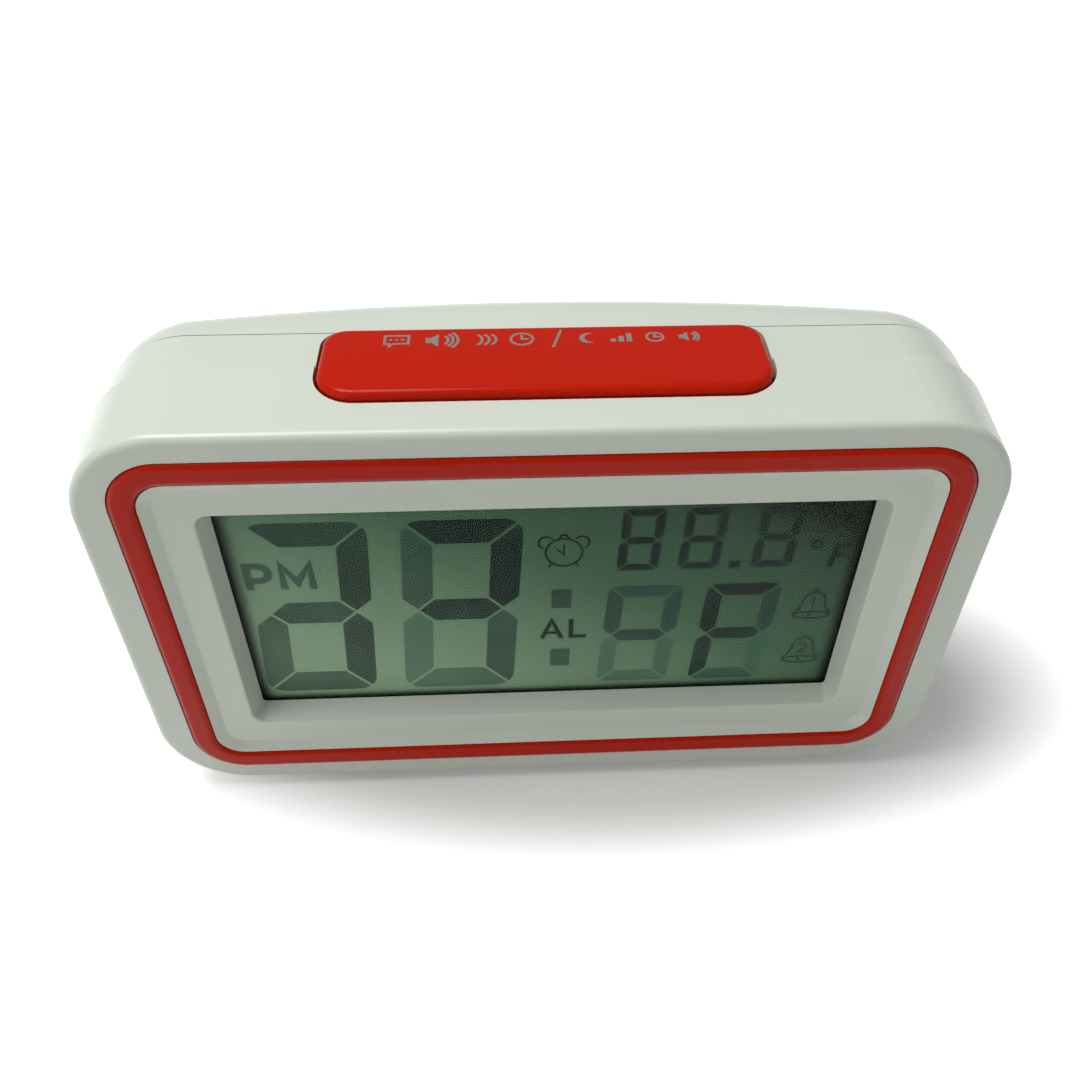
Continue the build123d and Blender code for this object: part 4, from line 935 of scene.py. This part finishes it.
@dataclass(frozen=True)
class FigureSet:
    """Sizes of one set of seven-bar figures, in millimetres."""

    width: float
    height: float
    bar: float
    gap: float
    corner: float
    lean: float

    def outline(self) -> np.ndarray:
        """Gives a figure's outer outline, a rectangle with round corners, anticlockwise."""
        w, h, r = self.width / 2, self.height / 2, self.corner
        x, y = w - r, h - r
        turns = [((x, y), 0), ((-x, y), 90), ((-x, -y), 180), ((x, -y), 270)]
        return np.vstack([arc(centre, r, start, start + 90, 7) for centre, start in turns])

    def bar_shape(self, bar: Bar) -> np.ndarray:
        """Cuts one bar out of the outline.

        Formula: diagonal cuts at 45 degrees run through the outer corners and through the points
        half a bar in from the sides at mid height, each moved away by half the gap. Bars on the
        left and below are mirror images.

        Args:
            bar: Which of the seven.

        Returns:
            Its corners in millimetres from the figure's middle, anticlockwise.
        """
        kind, flip_x, flip_y = bar.value
        w, h, t = self.width / 2, self.height / 2, self.bar
        slack = self.gap / 2 * math.sqrt(2)
        shape = self.outline()
        if kind == "top":
            cuts = [((0, 1), h - t), ((1, 1), h - w + slack), ((-1, 1), h - w + slack)]
        elif kind == "side":
            cuts = [((1, 0), w - t), ((1, -1), w - h + slack)]
            cuts += [((-1, 1), t / 2 - w + slack), ((1, 1), w - t / 2 + slack)]
        else:
            shape = box_shape(-w, -t / 2, 2 * w, t)
            cuts = [((1, 1), t / 2 - w + slack), ((1, -1), t / 2 - w + slack)]
            cuts += [((-1, 1), t / 2 - w + slack), ((-1, -1), t / 2 - w + slack)]
        for normal, limit in cuts:
            shape = clip(shape, normal, limit)
        shape = shape * [-1 if flip_x else 1, -1 if flip_y else 1]
        return shape[::-1] if flip_x != flip_y else shape

    def figure(self, x: float, y: float, drives: Sequence[float | None]) -> list[Shape]:
        """Gives a whole figure's bars, leaning.

        Args:
            x: Its middle, across.
            y: Its middle, up.
            drives: How dark each bar is, in the order of Bar; None is off.

        Returns:
            One area a bar that is on.
        """
        bars: list[Shape] = []
        for bar, drive in zip(Bar, drives):
            if drive is not None:
                shape = self.bar_shape(bar)
                leaning = np.stack([shape[:, 0] + self.lean * shape[:, 1] + x, shape[:, 1] + y], 1)
                bars.append(Area(leaning, drive))
        return bars


def moved(shapes: Iterable[Shape], x: float, y: float, drive: float | None = None) -> list[Shape]:
    """Gives shapes in another place.

    Args:
        shapes: What to move.
        x: Distance across, in millimetres.
        y: Distance up, in millimetres.
        drive: How dark they become, or None to leave them as dark as they are.

    Returns:
        New shapes.
    """
    made: list[Shape] = []
    for shape in shapes:
        strength = shape.drive if drive is None else drive
        if isinstance(shape, Area):
            made.append(Area(shape.corners + [x, y], strength))
        else:
            path = np.asarray(shape.path, float) + [x, y]
            made.append(Line(path, shape.width, shape.closed, strength))
    return made


def strokes(pen: float, *paths: Sequence[Sequence[float]] | np.ndarray) -> list[Shape]:
    """Draws an open line of one width along each path."""
    return [Line(np.array(path, float), pen) for path in paths]


def letter_p(width: float, height: float, pen: float) -> list[Shape]:
    """Draws the letter P from its lower left corner."""
    bowl = height * 0.27
    top = height - pen / 2
    curve = arc((width - bowl - pen / 2, top - bowl), bowl, 90, -90, 12)
    loop = np.vstack([[[pen * 1.5, top]], curve, [[pen * 1.5, top - 2 * bowl]]])
    return strokes(pen, [[pen / 2, pen / 2], [pen / 2, top]], loop)


def letter_m(width: float, height: float, pen: float) -> list[Shape]:
    """Draws the letter M from its lower left corner."""
    low, top, right = pen / 2, height - pen / 2, width - pen / 2
    path = [[low, low], [low, top], [width / 2, height * 0.24], [right, top], [right, low]]
    return strokes(pen, path)


def letter_a(width: float, height: float, pen: float) -> list[Shape]:
    """Draws the letter A from its lower left corner, its bar a little thinner."""
    low = pen / 2
    legs = strokes(pen, [[low, low], [width / 2, height - low], [width - low, low]])
    return legs + strokes(pen * 0.8, [[width * 0.34, height * 0.3], [width * 0.66, height * 0.3]])


def letter_l(width: float, height: float, pen: float) -> list[Shape]:
    """Draws the letter L from its lower left corner."""
    low = pen / 2
    return strokes(pen, [[low, height - low], [low, low], [width - low, low]])


def letter_f(width: float, height: float, pen: float, lean: float) -> list[Shape]:
    """Draws a leaning letter F from its lower left corner."""
    low, slant = pen / 2, lean * height
    top, middle = height - low, height * 0.52
    stem = [[low, low], [low + slant, top], [width - low, top]]
    return strokes(pen, stem, [[pen * 1.4 + slant / 2, middle], [width - pen, middle]])


def digit_one(height: float, pen: float) -> list[Shape]:
    """Draws a plain 1 about its middle."""
    half = height / 2
    return strokes(pen, [[-half * 0.5, half * 0.5], [0, half], [0, -half]])


def digit_two(height: float, pen: float) -> list[Shape]:
    """Draws a plain 2 about its middle."""
    half = height / 2
    bow = arc((0, half * 0.45), half * 0.55, 160, -35, 9)
    return strokes(pen, np.vstack([bow, [[-half * 0.55, -half], [half * 0.6, -half]]]))


def on_circle(radius: float, turn: float) -> Pair:
    """Gives the point of a circle about the origin at one angle in degrees."""
    return tuple(arc((0, 0), radius, turn, turn, 1)[0])


def alarm_clock_sign(radius: float, pen: float) -> list[Shape]:
    """Draws a round alarm clock with two bells, feet, a knob and hands, about its dial's middle."""
    bell, apart = radius * 0.42, radius * 1.22
    bells = [arc(on_circle(apart, turn), bell, turn - 100, turn + 100, 12) for turn in (38, 142)]
    feet = [[on_circle(radius, turn), on_circle(radius * 1.33, turn)] for turn in (232, 308)]
    knob = arc((0, radius * 1.1), radius * 0.22, 180, 0, 9)
    hands = [[-radius * 0.4, radius * 0.3], [0, -radius * 0.18], [0, radius * 0.58]]
    dots = [Area(circle(on_circle(radius * 0.7, turn), pen * 0.45, 8)) for turn in (0, 180, 270)]
    rim = Line(circle((0, 0), radius, 40), pen, True)
    return [rim, *strokes(pen, *bells, *feet, knob, hands), *dots]


def bell_sign(width: float, height: float, pen: float, number: list[Shape]) -> list[Shape]:
    """Draws a hand bell with a plain number on it, about its middle."""
    w, h = width / 2, height / 2
    rim = -h * 0.55
    lip_y = rim - h * 0.16
    half_x = np.array([-1, -0.72, -0.62, -0.56, -0.42]) * w
    half_y = np.array([rim, rim * 0.5, 0.0, h * 0.4, h * 0.68])
    dome_x = np.concatenate([half_x, [0], -half_x[::-1]])
    dome_y = np.concatenate([half_y, [h * 0.84], half_y[::-1]])
    dome = Line(np.stack([dome_x, dome_y], 1), pen)
    lip = Line(circle((0, 0), 1.0, 28) * [w * 0.97, h * 0.22] + [0, lip_y], pen, True)
    knob = Line(arc((0, h * 0.9), h * 0.1, 200, -20, 8), pen)
    clapper = Area(circle((-w * 0.1, lip_y), h * 0.1, 10))
    return [dome, lip, knob, clapper, *moved(number, 0, h * 0.12)]


def speaker_sign(size: float, pen: float, waves: int) -> list[Shape]:
    """Draws a loudspeaker with sound waves, from its left edge, about its middle height."""
    lower = [[0, -0.17], [0.2, -0.17], [0.45, -0.42]]
    horn = np.array([*lower, *([x, -y] for x, y in reversed(lower))]) * size
    rings = [arc((size * 0.42, 0), size * (0.2 + 0.17 * (i + 1)), -42, 42, 9) for i in range(waves)]
    return [Area(horn), *strokes(pen, *rings)]


def speech_sign(size: float, pen: float) -> list[Shape]:
    """Draws a speech balloon with three dots, from its left edge, about its middle height."""
    left, low, wide, high = 0.05 * size, -0.22 * size, 0.95 * size, 0.62 * size
    outline = box_shape(left, low, wide, high)
    tip = [left + 0.2 * size, low - 0.2 * size]
    tail = np.array([[left + 0.18 * size, low], tip, [left + 0.35 * size, low]])
    path = np.vstack([outline[:1] + [0.02, 0], tail, outline[1:]])
    spots = [(left + wide * share, low + high / 2) for share in (0.25, 0.5, 0.75)]
    return [Line(path, pen, True), *(Area(circle(spot, 0.07 * size, 10)) for spot in spots)]


def ear_sign(size: float, pen: float) -> list[Shape]:
    """Draws three sound waves side by side, from the left, about their middle height."""
    middles = [(size * (0.28 * i - 0.3), 0) for i in range(3)]
    return strokes(pen, *(arc(middle, size * 0.5, -46, 46, 9) for middle in middles))


def moon_sign(size: float) -> list[Shape]:
    """Draws a crescent moon, from its left edge, about its middle height."""
    r = size / 2
    outer, inner = arc((r, 0), r, 60, 300, 22), arc((r * 1.42, 0), r * 0.87, 264, 96, 18)
    return [Area(np.vstack([outer, inner]))]


def dial_sign(size: float, pen: float) -> list[Shape]:
    """Draws a plain dial with two hands, from its left edge, about its middle height."""
    r = size / 2 - pen / 2
    hands = strokes(pen, [[size / 2, r * 0.6], [size / 2, 0], [size / 2 + r * 0.5, 0]])
    return [Line(circle((size / 2, 0), r, 28), pen, True), *hands]


def level_sign(size: float) -> list[Shape]:
    """Draws three upright bars that rise, from the left, about their middle height."""
    step, wide = size * 0.42, size * 0.28
    return [Area(box_shape(i * step, -step, wide, size * (0.3 + 0.27 * i))) for i in range(3)]


@dataclass(frozen=True)
class Lamp:
    """A square lamp that faces the clock: its place and its side in metres, and its watts."""

    name: str
    spot: Triple
    side: float
    power: float

    def hang(self, target: Triple) -> None:
        """Hangs the lamp so that it faces a point."""
        data = bpy.data.lights.new(self.name, "AREA")
        data.shape, data.size, data.energy = "SQUARE", self.side, self.power
        made = bpy.data.objects.new(self.name, data)
        turn = (Vector(target) - Vector(self.spot)).to_track_quat("-Z", "Y")
        made.matrix_world = Matrix.Translation(self.spot) @ turn.to_matrix().to_4x4()
        bpy.context.scene.collection.objects.link(made)


@dataclass
class Studio:
    """The pale floor, the soft lamps and the camera, which aren't part of the clock."""

    eye_mm: Triple = (-4.735, -95.0, 105.57)
    look: Triple = (0.04757565, 0.72604147, -0.68600316)
    head: Triple = (0.02549988, 0.68567421, 0.72746178)
    sensor_mm: float = 36.0
    focal_px: float = 1050.0
    middle_px: Pair = (561.93, 540.76)
    frame_px: float = 1080.0
    clip_m: Pair = (0.01, 20.0)
    floor_size: float = 4.0
    floor_colour: str = "#d9dad8"
    # how much the floor glows: least in an oval round the clock, stretched forwards and shifted to
    # its right, which paints a shadow there
    near_lift: float = 0.15
    far_lift: float = 0.95
    near_m: float = 0.054
    far_m: float = 0.1
    painted_shadow_stretch: Triple = (1.0, 2.3, 1.0)
    painted_shadow_shift: Triple = (-0.013, 0.0, 0.0)
    air: float = 0.28
    lamps: tuple[Lamp, ...] = (
        Lamp("key_lamp", (-0.2, 0.04, 0.62), 0.3, 2.8),
        Lamp("fill_lamp", (-0.5, -0.4, 0.22), 0.4, 0.5),
    )
    lit_spot: Triple = (0.0, 0.0, 0.03)

    def camera(self) -> None:
        """Places the camera where the photograph was taken from, measured from the face."""
        low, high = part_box("front_shell")
        data = bpy.data.cameras.new("photo_view")
        data.sensor_width = self.sensor_mm
        data.lens = data.sensor_width * self.focal_px / self.frame_px
        data.shift_x = -(self.middle_px[0] - self.frame_px / 2) / self.frame_px
        data.shift_y = (self.middle_px[1] - self.frame_px / 2) / self.frame_px
        data.clip_start, data.clip_end = self.clip_m
        made = bpy.data.objects.new("photo_view", data)
        look, head = Vector(self.look), Vector(self.head)
        right = look.cross(head).normalized()
        turn = Matrix((right, right.cross(look).normalized(), -look)).transposed()
        spot = Vector((0, low.y, (low.z + high.z) / 2)) + Vector(self.eye_mm) * MM
        made.matrix_world = Matrix.Translation(spot) @ turn.to_4x4()
        bpy.context.scene.collection.objects.link(made)
        bpy.context.scene.camera = made

    def floor(self) -> None:
        """Lays a matt floor that glows wherever it is seen, and least round the clock, as painted
        shadow.

        Formula: the glow rises smoothly with the length of (x - 0.013, 2.3 y), so that the floor is
        white beyond an oval and darker inside it, whether or not the clock's shadow falls there: a
        painted shadow, with the lamps' real shadow showing inside it too.
        """
        made = put_mesh("floor", self.corners(), [[0, 1, 2, 3]], False)
        material, tree, surface = blank_material("paper_white_matt")
        matt = add_node(tree, "BsdfDiffuse", {"Color": linear(self.floor_colour)}).outputs[0]
        place = add_node(tree, "TexCoord").outputs["Object"]
        # painted shadow: less glow in an oval round the clock, shifted to its right
        oval_in = {0: place, 1: self.painted_shadow_stretch, 2: self.painted_shadow_shift}
        oval = add_node(tree, "VectorMath", oval_in, operation="MULTIPLY_ADD").outputs["Vector"]
        away = add_node(tree, "VectorMath", {0: oval}, operation="LENGTH").outputs["Value"]
        rise = self.near_lift, self.far_lift, self.near_m, self.far_m
        lift = span(tree, away, *rise, "SMOOTHSTEP")
        glow = add_node(tree, "Emission", {"Color": linear("#ffffff"), "Strength": lift}).outputs[0]
        both = add_node(tree, "AddShader", {0: matt, 1: glow}).outputs[0]
        path = add_node(tree, "LightPath").outputs
        seen = work_out(tree, "MAXIMUM", path["Is Camera Ray"], path["Is Glossy Ray"])
        seen = work_out(tree, "MAXIMUM", seen, path["Is Transmission Ray"])
        tree.links.new(add_node(tree, "MixShader", {0: seen, 1: matt, 2: both}).outputs[0], surface)
        made.data.materials.append(material)

    def corners(self) -> np.ndarray:
        """Gives the floor's corners, anticlockwise."""
        half = self.floor_size / 2
        flat = box_shape(-half, -half, self.floor_size, self.floor_size)
        return np.column_stack([flat, np.zeros(len(flat))])

    def world(self) -> None:
        """Lights everything faintly from all round, and shows white behind it."""
        world = bpy.data.worlds.new("studio_air")
        bpy.context.scene.world = world
        world.use_nodes = True
        tree = world.node_tree
        tree.nodes.clear()
        path = add_node(tree, "LightPath").outputs
        seen = work_out(tree, "MAXIMUM", path["Is Camera Ray"], path["Is Transmission Ray"])
        strength = work_out(tree, "MULTIPLY_ADD", seen, 1 - self.air, self.air)
        sky_in = {"Color": linear("#ffffff"), "Strength": strength}
        sky = add_node(tree, "Background", sky_in).outputs[0]
        tree.links.new(sky, add_node(tree, "OutputWorld").inputs["Surface"])

    def build(self) -> None:
        """Sets up everything round the clock."""
        bpy.context.scene.view_settings.view_transform = "Standard"
        self.camera()
        self.floor()
        self.world()
        for lamp in self.lamps:
            lamp.hang(self.lit_spot)
        log.info("studio: camera, floor, world and %d lamps", len(self.lamps))


@dataclass
class CaseShells:
    """The three white shells, the red ring, the case screws and the feet."""

    foot_radius_mm: float = 3.4
    foot_height_mm: float = 1.6
    foot_round_mm: float = 0.35
    foot_dish_mm: float = 0.15
    foot_sides: int = 40

    def foot_profile(self) -> np.ndarray:
        """Gives a foot's radius and height from the middle of its underside round to its top.

        Formula: a parabola dishes the underside, and a quarter circle rounds the rim.
        """
        r, h, e = self.foot_radius_mm * MM, self.foot_height_mm * MM, self.foot_round_mm * MM
        flat = np.linspace(0, 1, 8)
        dish = np.stack([flat * (r - e), self.foot_dish_mm * MM * (1 - flat**2)], 1)
        angle = np.radians(np.linspace(-90, 0, 7))[1:]
        rim = np.stack([r - e + e * np.cos(angle), e + e * np.sin(angle)], 1)
        return np.vstack([dish, rim, [[r, h], [0, h]]])

    def feet(self) -> None:
        """Makes the four rubber feet where the CAD node has its own, which they replace."""
        radius = self.foot_radius_mm * MM
        low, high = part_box("rubber_feet")
        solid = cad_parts["rubber_feet"].data
        points = np.zeros(len(solid.vertices) * 3)
        solid.vertices.foreach_get("co", points)
        points = points.reshape(-1, 3)
        front_x, front_y, back_y = high.x - radius, low.y + radius, high.y - radius
        back_x = points[points[:, 1] > (front_y + back_y) / 2, 0].max() - radius
        spots = [(front_x, front_y), (-front_x, front_y), (back_x, back_y), (-back_x, back_y)]
        centres = np.array([[x, y, low.z] for x, y in spots])
        profile, upwards = self.foot_profile(), np.array([0, 0, 1.0])
        points, quads = turn_profile(profile, centres, upwards, self.foot_sides)
        piece = put_mesh("foot_pads", points, quads.tolist(), True)
        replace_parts(settle(piece, FOOT_RUBBER, "clock"), "rubber_feet")

    def build(self) -> None:
        """Dresses the shells and adds the feet."""
        dress(front_shell=WHITE_ABS, middle_band=WHITE_ABS, rear_cover=WHITE_ABS)
        dress(accent_ring=RED_ABS, case_screws=ZINC_STEEL)
        self.feet()


@dataclass
class Display:
    """The window, the layers behind it and every mark that the liquid crystal shows."""

    big: FigureSet = FigureSet(15.95, 33.4, 4.15, 0.42, 2.7, 0.062)
    medium: FigureSet = FigureSet(10.5, 20.4, 2.35, 0.34, 1.5, 0.055)
    small: FigureSet = FigureSet(5.7, 11.1, 1.3, 0.2, 0.7, 0.05)
    small_y_mm: float = 10.85
    lift_mm: float = 0.03
    pen_mm: float = 0.34
    thick_pen_mm: float = 1.1
    thin_pen_mm: float = 0.72

    def big_figures(self) -> list[Shape]:
        """Gives the two big figures; the first has its upper left bar off, where PM stands."""
        first = self.big.figure(-32.2, -1.3, (0.84, 0.9, 0.86, 0.68, 0.68, None, 0.8))
        return first + self.big.figure(-12.05, -1.4, (1.0, 1.0, 0.76, 0.52, 0.46, 0.74, 0.94))

    def medium_figures(self) -> list[Shape]:
        """Gives the two medium figures, whose lower halves are faint."""
        first = self.medium.figure(13.1, -7.8, (0.72, 0.8, 0.38, 0.34, 0.36, 0.78, 0.84))
        return first + self.medium.figure(26.9, -7.95, (0.96, 0.78, 0.34, 0.56, 0.9, 0.97, 0.92))

    def small_figures(self) -> list[Shape]:
        """Gives the three figures of the temperature and its point."""
        shapes: list[Shape] = []
        for x, drive in ((12.3, 1.0), (20.55, 0.98), (30.5, 0.95)):
            shapes += self.small.figure(x, self.small_y_mm, [drive] * len(Bar))
        return [*shapes, Area(box_shape(24.55, 5.15, 1.6, 1.5))]

    def marks(self) -> list[Shape]:
        """Gives the colon, the degree ring, the letters and the signs."""
        pen, thick, thin = self.pen_mm, self.thick_pen_mm, self.thin_pen_mm
        dot = [Area(box_shape(0, 0, 2.82, 3.75))]
        degree = [Line(circle((0, 0), 0.68, 24), 0.38, True)]
        target = [Line(circle((0, 0), 1.15, 24), 0.4, True), Area(circle((0, 0), 0.4, 12))]
        places = [  # what, how far across and up, how dark
            (dot, 0.5, -1.72, 0.82),
            (dot, 0.42, -14.1, 0.7),
            (degree, 36.05, 9.36, 1.0),
            (letter_p(3.9, 5.0, thick), -40.4, 3.45, 0.72),
            (letter_m(4.9, 5.0, thick), -35.85, 3.45, 0.72),
            (letter_a(3.3, 4.15, thin), -1.05, -8.05, 1.0),
            (letter_l(2.55, 4.0, thin), 2.98, -8.05, 1.0),
            (letter_f(2.7, 4.4, 0.78, 0.12), 38.1, 4.95, 1.0),
            (alarm_clock_sign(2.45, pen), 2.12, 9.0, 1.0),
            (bell_sign(5.4, 6.2, pen, digit_one(1.9, pen)), 37.65, -2.45, 0.95),
            (bell_sign(5.4, 6.2, pen, digit_two(1.9, pen)), 37.65, -12.1, 0.85),
            (target, 39.05, 13.0, 0.9),
        ]
        return [shape for row in places for shape in moved(*row)]

    def build(self) -> None:
        """Dresses the layers and lays every mark on the front film."""
        low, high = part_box("lcd_front_film")
        middle = (low.z + high.z) / 2
        # painted shade and frame shadow, shared by the film and the marks
        shade = PaintedDisplayShade(middle)
        film = PolarisingFilm("polarising_film_olive", shade)
        dress(display_window=CLEAR_ACRYLIC, lcd_front_film=film)
        dress(lcd_front_glass=DISPLAY_GLASS, lcd_rear_glass=DISPLAY_GLASS)
        dress(lcd_reflector=MIRROR_FILM, lcd_holder=HOLDER_ABS, contact_strips=CONTACT_RUBBER)
        ink = LiquidCrystal("liquid_crystal_marks", shade)
        surface = FlatSurface((0, low.y, middle), (1, 0, 0), (0, 0, 1))
        for draw in (self.big_figures, self.medium_figures, self.small_figures, self.marks):
            piece = lay_art("lcd_" + draw.__name__, draw(), surface, self.lift_mm)
            settle(piece, ink, "clock")


@dataclass
class TalkButton:
    """The long red button with its print, and the springs, switch and little board under it."""

    large_mm: float = 3.1
    small_mm: float = 2.4
    pen_mm: float = 0.34
    print_left_mm: float = -20.0
    print_depth_mm: float = 3.4
    lift_mm: float = 0.02
    front_depth_mm: float = 6.0
    length_mm: float = 14.9
    fall_mm: float = 0.55
    edge_drop_mm: float = 0.03

    def signs(self) -> list[Shape]:
        """Gives a row of plain signs: large ones for speech, then small ones for rest."""
        pen, large, small = self.pen_mm, self.large_mm, self.small_mm
        places = [
            (0.0, speech_sign(large, pen)),
            (5.2, speaker_sign(large * 1.15, pen, 3)),
            (11.6, ear_sign(large, pen)),
            (15.6, dial_sign(large, pen)),
            (21.0, strokes(pen, [[0, -large * 0.62], [large * 0.35, large * 0.62]])),
            (24.3, moon_sign(small)),
            (28.2, level_sign(small)),
            (32.6, dial_sign(small, pen)),
            (36.8, speaker_sign(small * 1.1, pen, 2)),
        ]
        return [shape for x, shapes in places for shape in moved(shapes, self.print_left_mm + x, 0)]

    def top(self) -> FlatSurface:
        """Gives the plane of the button's top, which falls evenly from front to back."""
        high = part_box("talk_button")[1]
        front_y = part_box("front_shell")[0].y + self.front_depth_mm * MM
        back_y = front_y + self.length_mm * MM
        slope = Vector((0, self.length_mm, -self.fall_mm)).normalized()
        print_y = back_y - self.print_depth_mm * MM
        fallen = self.fall_mm * (print_y - front_y) / (back_y - front_y)
        spot = (0, print_y, high.z + (self.edge_drop_mm - fallen) * MM)
        return FlatSurface(spot, (1, 0, 0), tuple(slope))

    def build(self) -> None:
        """Dresses the button's pieces and prints the signs on it."""
        dress(talk_button=RED_ABS, button_springs=SPRING_WIRE, button_switch=SWITCH_NYLON)
        dress(button_switch_stem=STEM_NYLON, key_shelf=BOARD_LAMINATE)
        dress(key_shelf_screws=ZINC_STEEL, key_shelf_wires=WIRE_VINYL)
        piece = lay_art("button_print", self.signs(), self.top(), self.lift_mm, self.lift_mm)
        settle(piece, GREY_PRINT, "button")


def at_back(low: Vector, high: Vector, up_mm: float) -> BowedBack:
    """Gives the case's back, with its art this far above the middle of a box."""
    middle_x, middle_z = (low.x + high.x) / 2, (low.z + high.z) / 2
    return BowedBack(middle_x, middle_z + up_mm * MM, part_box("rear_cover")[1].y)


@dataclass
class RearKeys:
    """The four keys on the back with their signs, and the board and switches behind them."""

    sign_rise_mm: float = 5.2
    sign_mm: float = 2.2
    pen_mm: float = 0.26
    lift_mm: float = 0.03
    sink_mm: float = 0.01

    def signs(self) -> dict[str, list[Shape]]:
        """Gives each key's sign: an alarm clock, three bars, a tall arrow and a short arrow."""
        s = self.sign_mm
        lines = [box_shape(-s / 2, -s / 2 + i * s * 0.38, s, s * 0.2) for i in range(3)]
        return {
            "alarm_key": alarm_clock_sign(s * 0.42, self.pen_mm * 0.8),
            "mode_key": [Area(line) for line in lines],
            "hour_key": [Area(np.array([[-0.45, -0.5], [0.45, -0.5], [0, 0.5]]) * s)],
            "minute_key": [Area(np.array([[-0.3, -0.3], [0.3, -0.3], [0, 0.3]]) * s)],
        }

    def build(self) -> None:
        """Dresses the keys' pieces and prints a sign above each key."""
        for name, shapes in self.signs().items():
            dress(**{name: WHITE_ABS, name + "_stem": STEM_NYLON})
            surface = at_back(*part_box(name), self.sign_rise_mm)
            piece = lay_art(name + "_sign", shapes, surface, self.lift_mm, self.sink_mm)
            settle(piece, REAR_PRINT, "clock")
        dress(key_board=BOARD_LAMINATE, key_board_screws=ZINC_STEEL)
        dress(key_switches=SWITCH_NYLON, key_ribbon=FLAT_CABLE)


@dataclass
class BatteryBay:
    """The two cells, their contacts, springs and wires, and the door over them."""

    arrow_mm: float = 3.0
    arrow_below_top_mm: float = 8.4
    arrow_height_mm: float = 0.25
    arrow_sink_mm: float = 0.1

    def build(self) -> None:
        """Dresses the bay's pieces and raises an arrow on the door."""
        dress(battery_door=WHITE_ABS)
        left_to_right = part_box("lower_cell")[0].x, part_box("lower_cell")[1].x
        right_to_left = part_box("upper_cell")[1].x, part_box("upper_cell")[0].x
        dress(lower_cell=CellJacket("lower_cell_jacket", *left_to_right))
        dress(upper_cell=CellJacket("upper_cell_jacket", *right_to_left))
        dress(battery_contacts=NICKEL, battery_springs=NICKEL, battery_wires=WIRE_VINYL)
        low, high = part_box("battery_door")
        surface = at_back(low, high, (high.z - low.z) / 2 / MM - self.arrow_below_top_mm)
        arrow = [Area(np.array([[-0.6, 0.3], [0, -0.3], [0.6, 0.3]]) * self.arrow_mm)]
        piece = lay_art("door_arrow", arrow, surface, self.arrow_height_mm, self.arrow_sink_mm)
        settle(piece, WHITE_ABS, "door")


@dataclass
class Loudspeaker:
    """The loudspeaker behind its grille, with a cloth that keeps the dust out."""

    cloth_radius_mm: float = 12.3
    cloth_behind_mm: float = 0.2
    cloth_thickness_mm: float = 0.2
    cloth_crown_mm: float = 0.05
    cloth_sides: int = 64

    def cloth(self) -> None:
        """Makes the round dust cloth between the speaker's rim and the grille.

        Formula: the profile runs out along the front face and back along the rear one, with heights
        that fall by a shallow parabola towards the rim.
        """
        low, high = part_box("speaker_frame")
        x, z = (low.x + high.x) / 2, (low.z + high.z) / 2
        centre = np.array([[x, high.y + self.cloth_behind_mm * MM, z]])
        share = np.linspace(0, 1, 12)
        radius = share * self.cloth_radius_mm * MM
        crown = self.cloth_crown_mm * MM * (1 - share**2)
        near = np.stack([radius, crown], 1)
        far = np.stack([radius, crown + self.cloth_thickness_mm * MM], 1)[::-1]
        profile, backwards = np.vstack([near, far]), np.array([0, 1.0, 0])
        points, quads = turn_profile(profile, centre, backwards, self.cloth_sides)
        piece = put_mesh("speaker_cloth", points, quads.tolist(), True)
        settle(piece, SPEAKER_CLOTH, "clock")

    def build(self) -> None:
        """Dresses the speaker's pieces and adds the cloth."""
        dress(speaker_frame=PRESSED_STEEL, speaker_magnet=FERRITE, speaker_cone=CONE_FILM)
        dress(speaker_screws=ZINC_STEEL, speaker_wires=WIRE_VINYL)
        self.cloth()


class Electronics:
    """The main board and what is soldered to it."""

    def build(self) -> None:
        """Dresses the board and its parts."""
        dress(main_board=BOARD_LAMINATE, main_board_screws=ZINC_STEEL, controller_blob=BLACK_EPOXY)
        dress(speech_chip=BLACK_EPOXY, temperature_sensor=BLACK_EPOXY, clock_crystal=TINNED_CAN)
        dress(capacitors=CAPACITOR_SLEEVE, chip_resistors=FIRED_CERAMIC)


def main() -> None:
    """Builds the studio and dresses the clock, one sub-assembly after another."""
    logging.basicConfig(level=logging.INFO, format="%(name)s: %(message)s")
    case = (CaseShells, Display, TalkButton, RearKeys)
    for assembly in (Studio, *case, BatteryBay, Loudspeaker, Electronics):
        assembly().build()


if __name__ == "__main__":
    main()
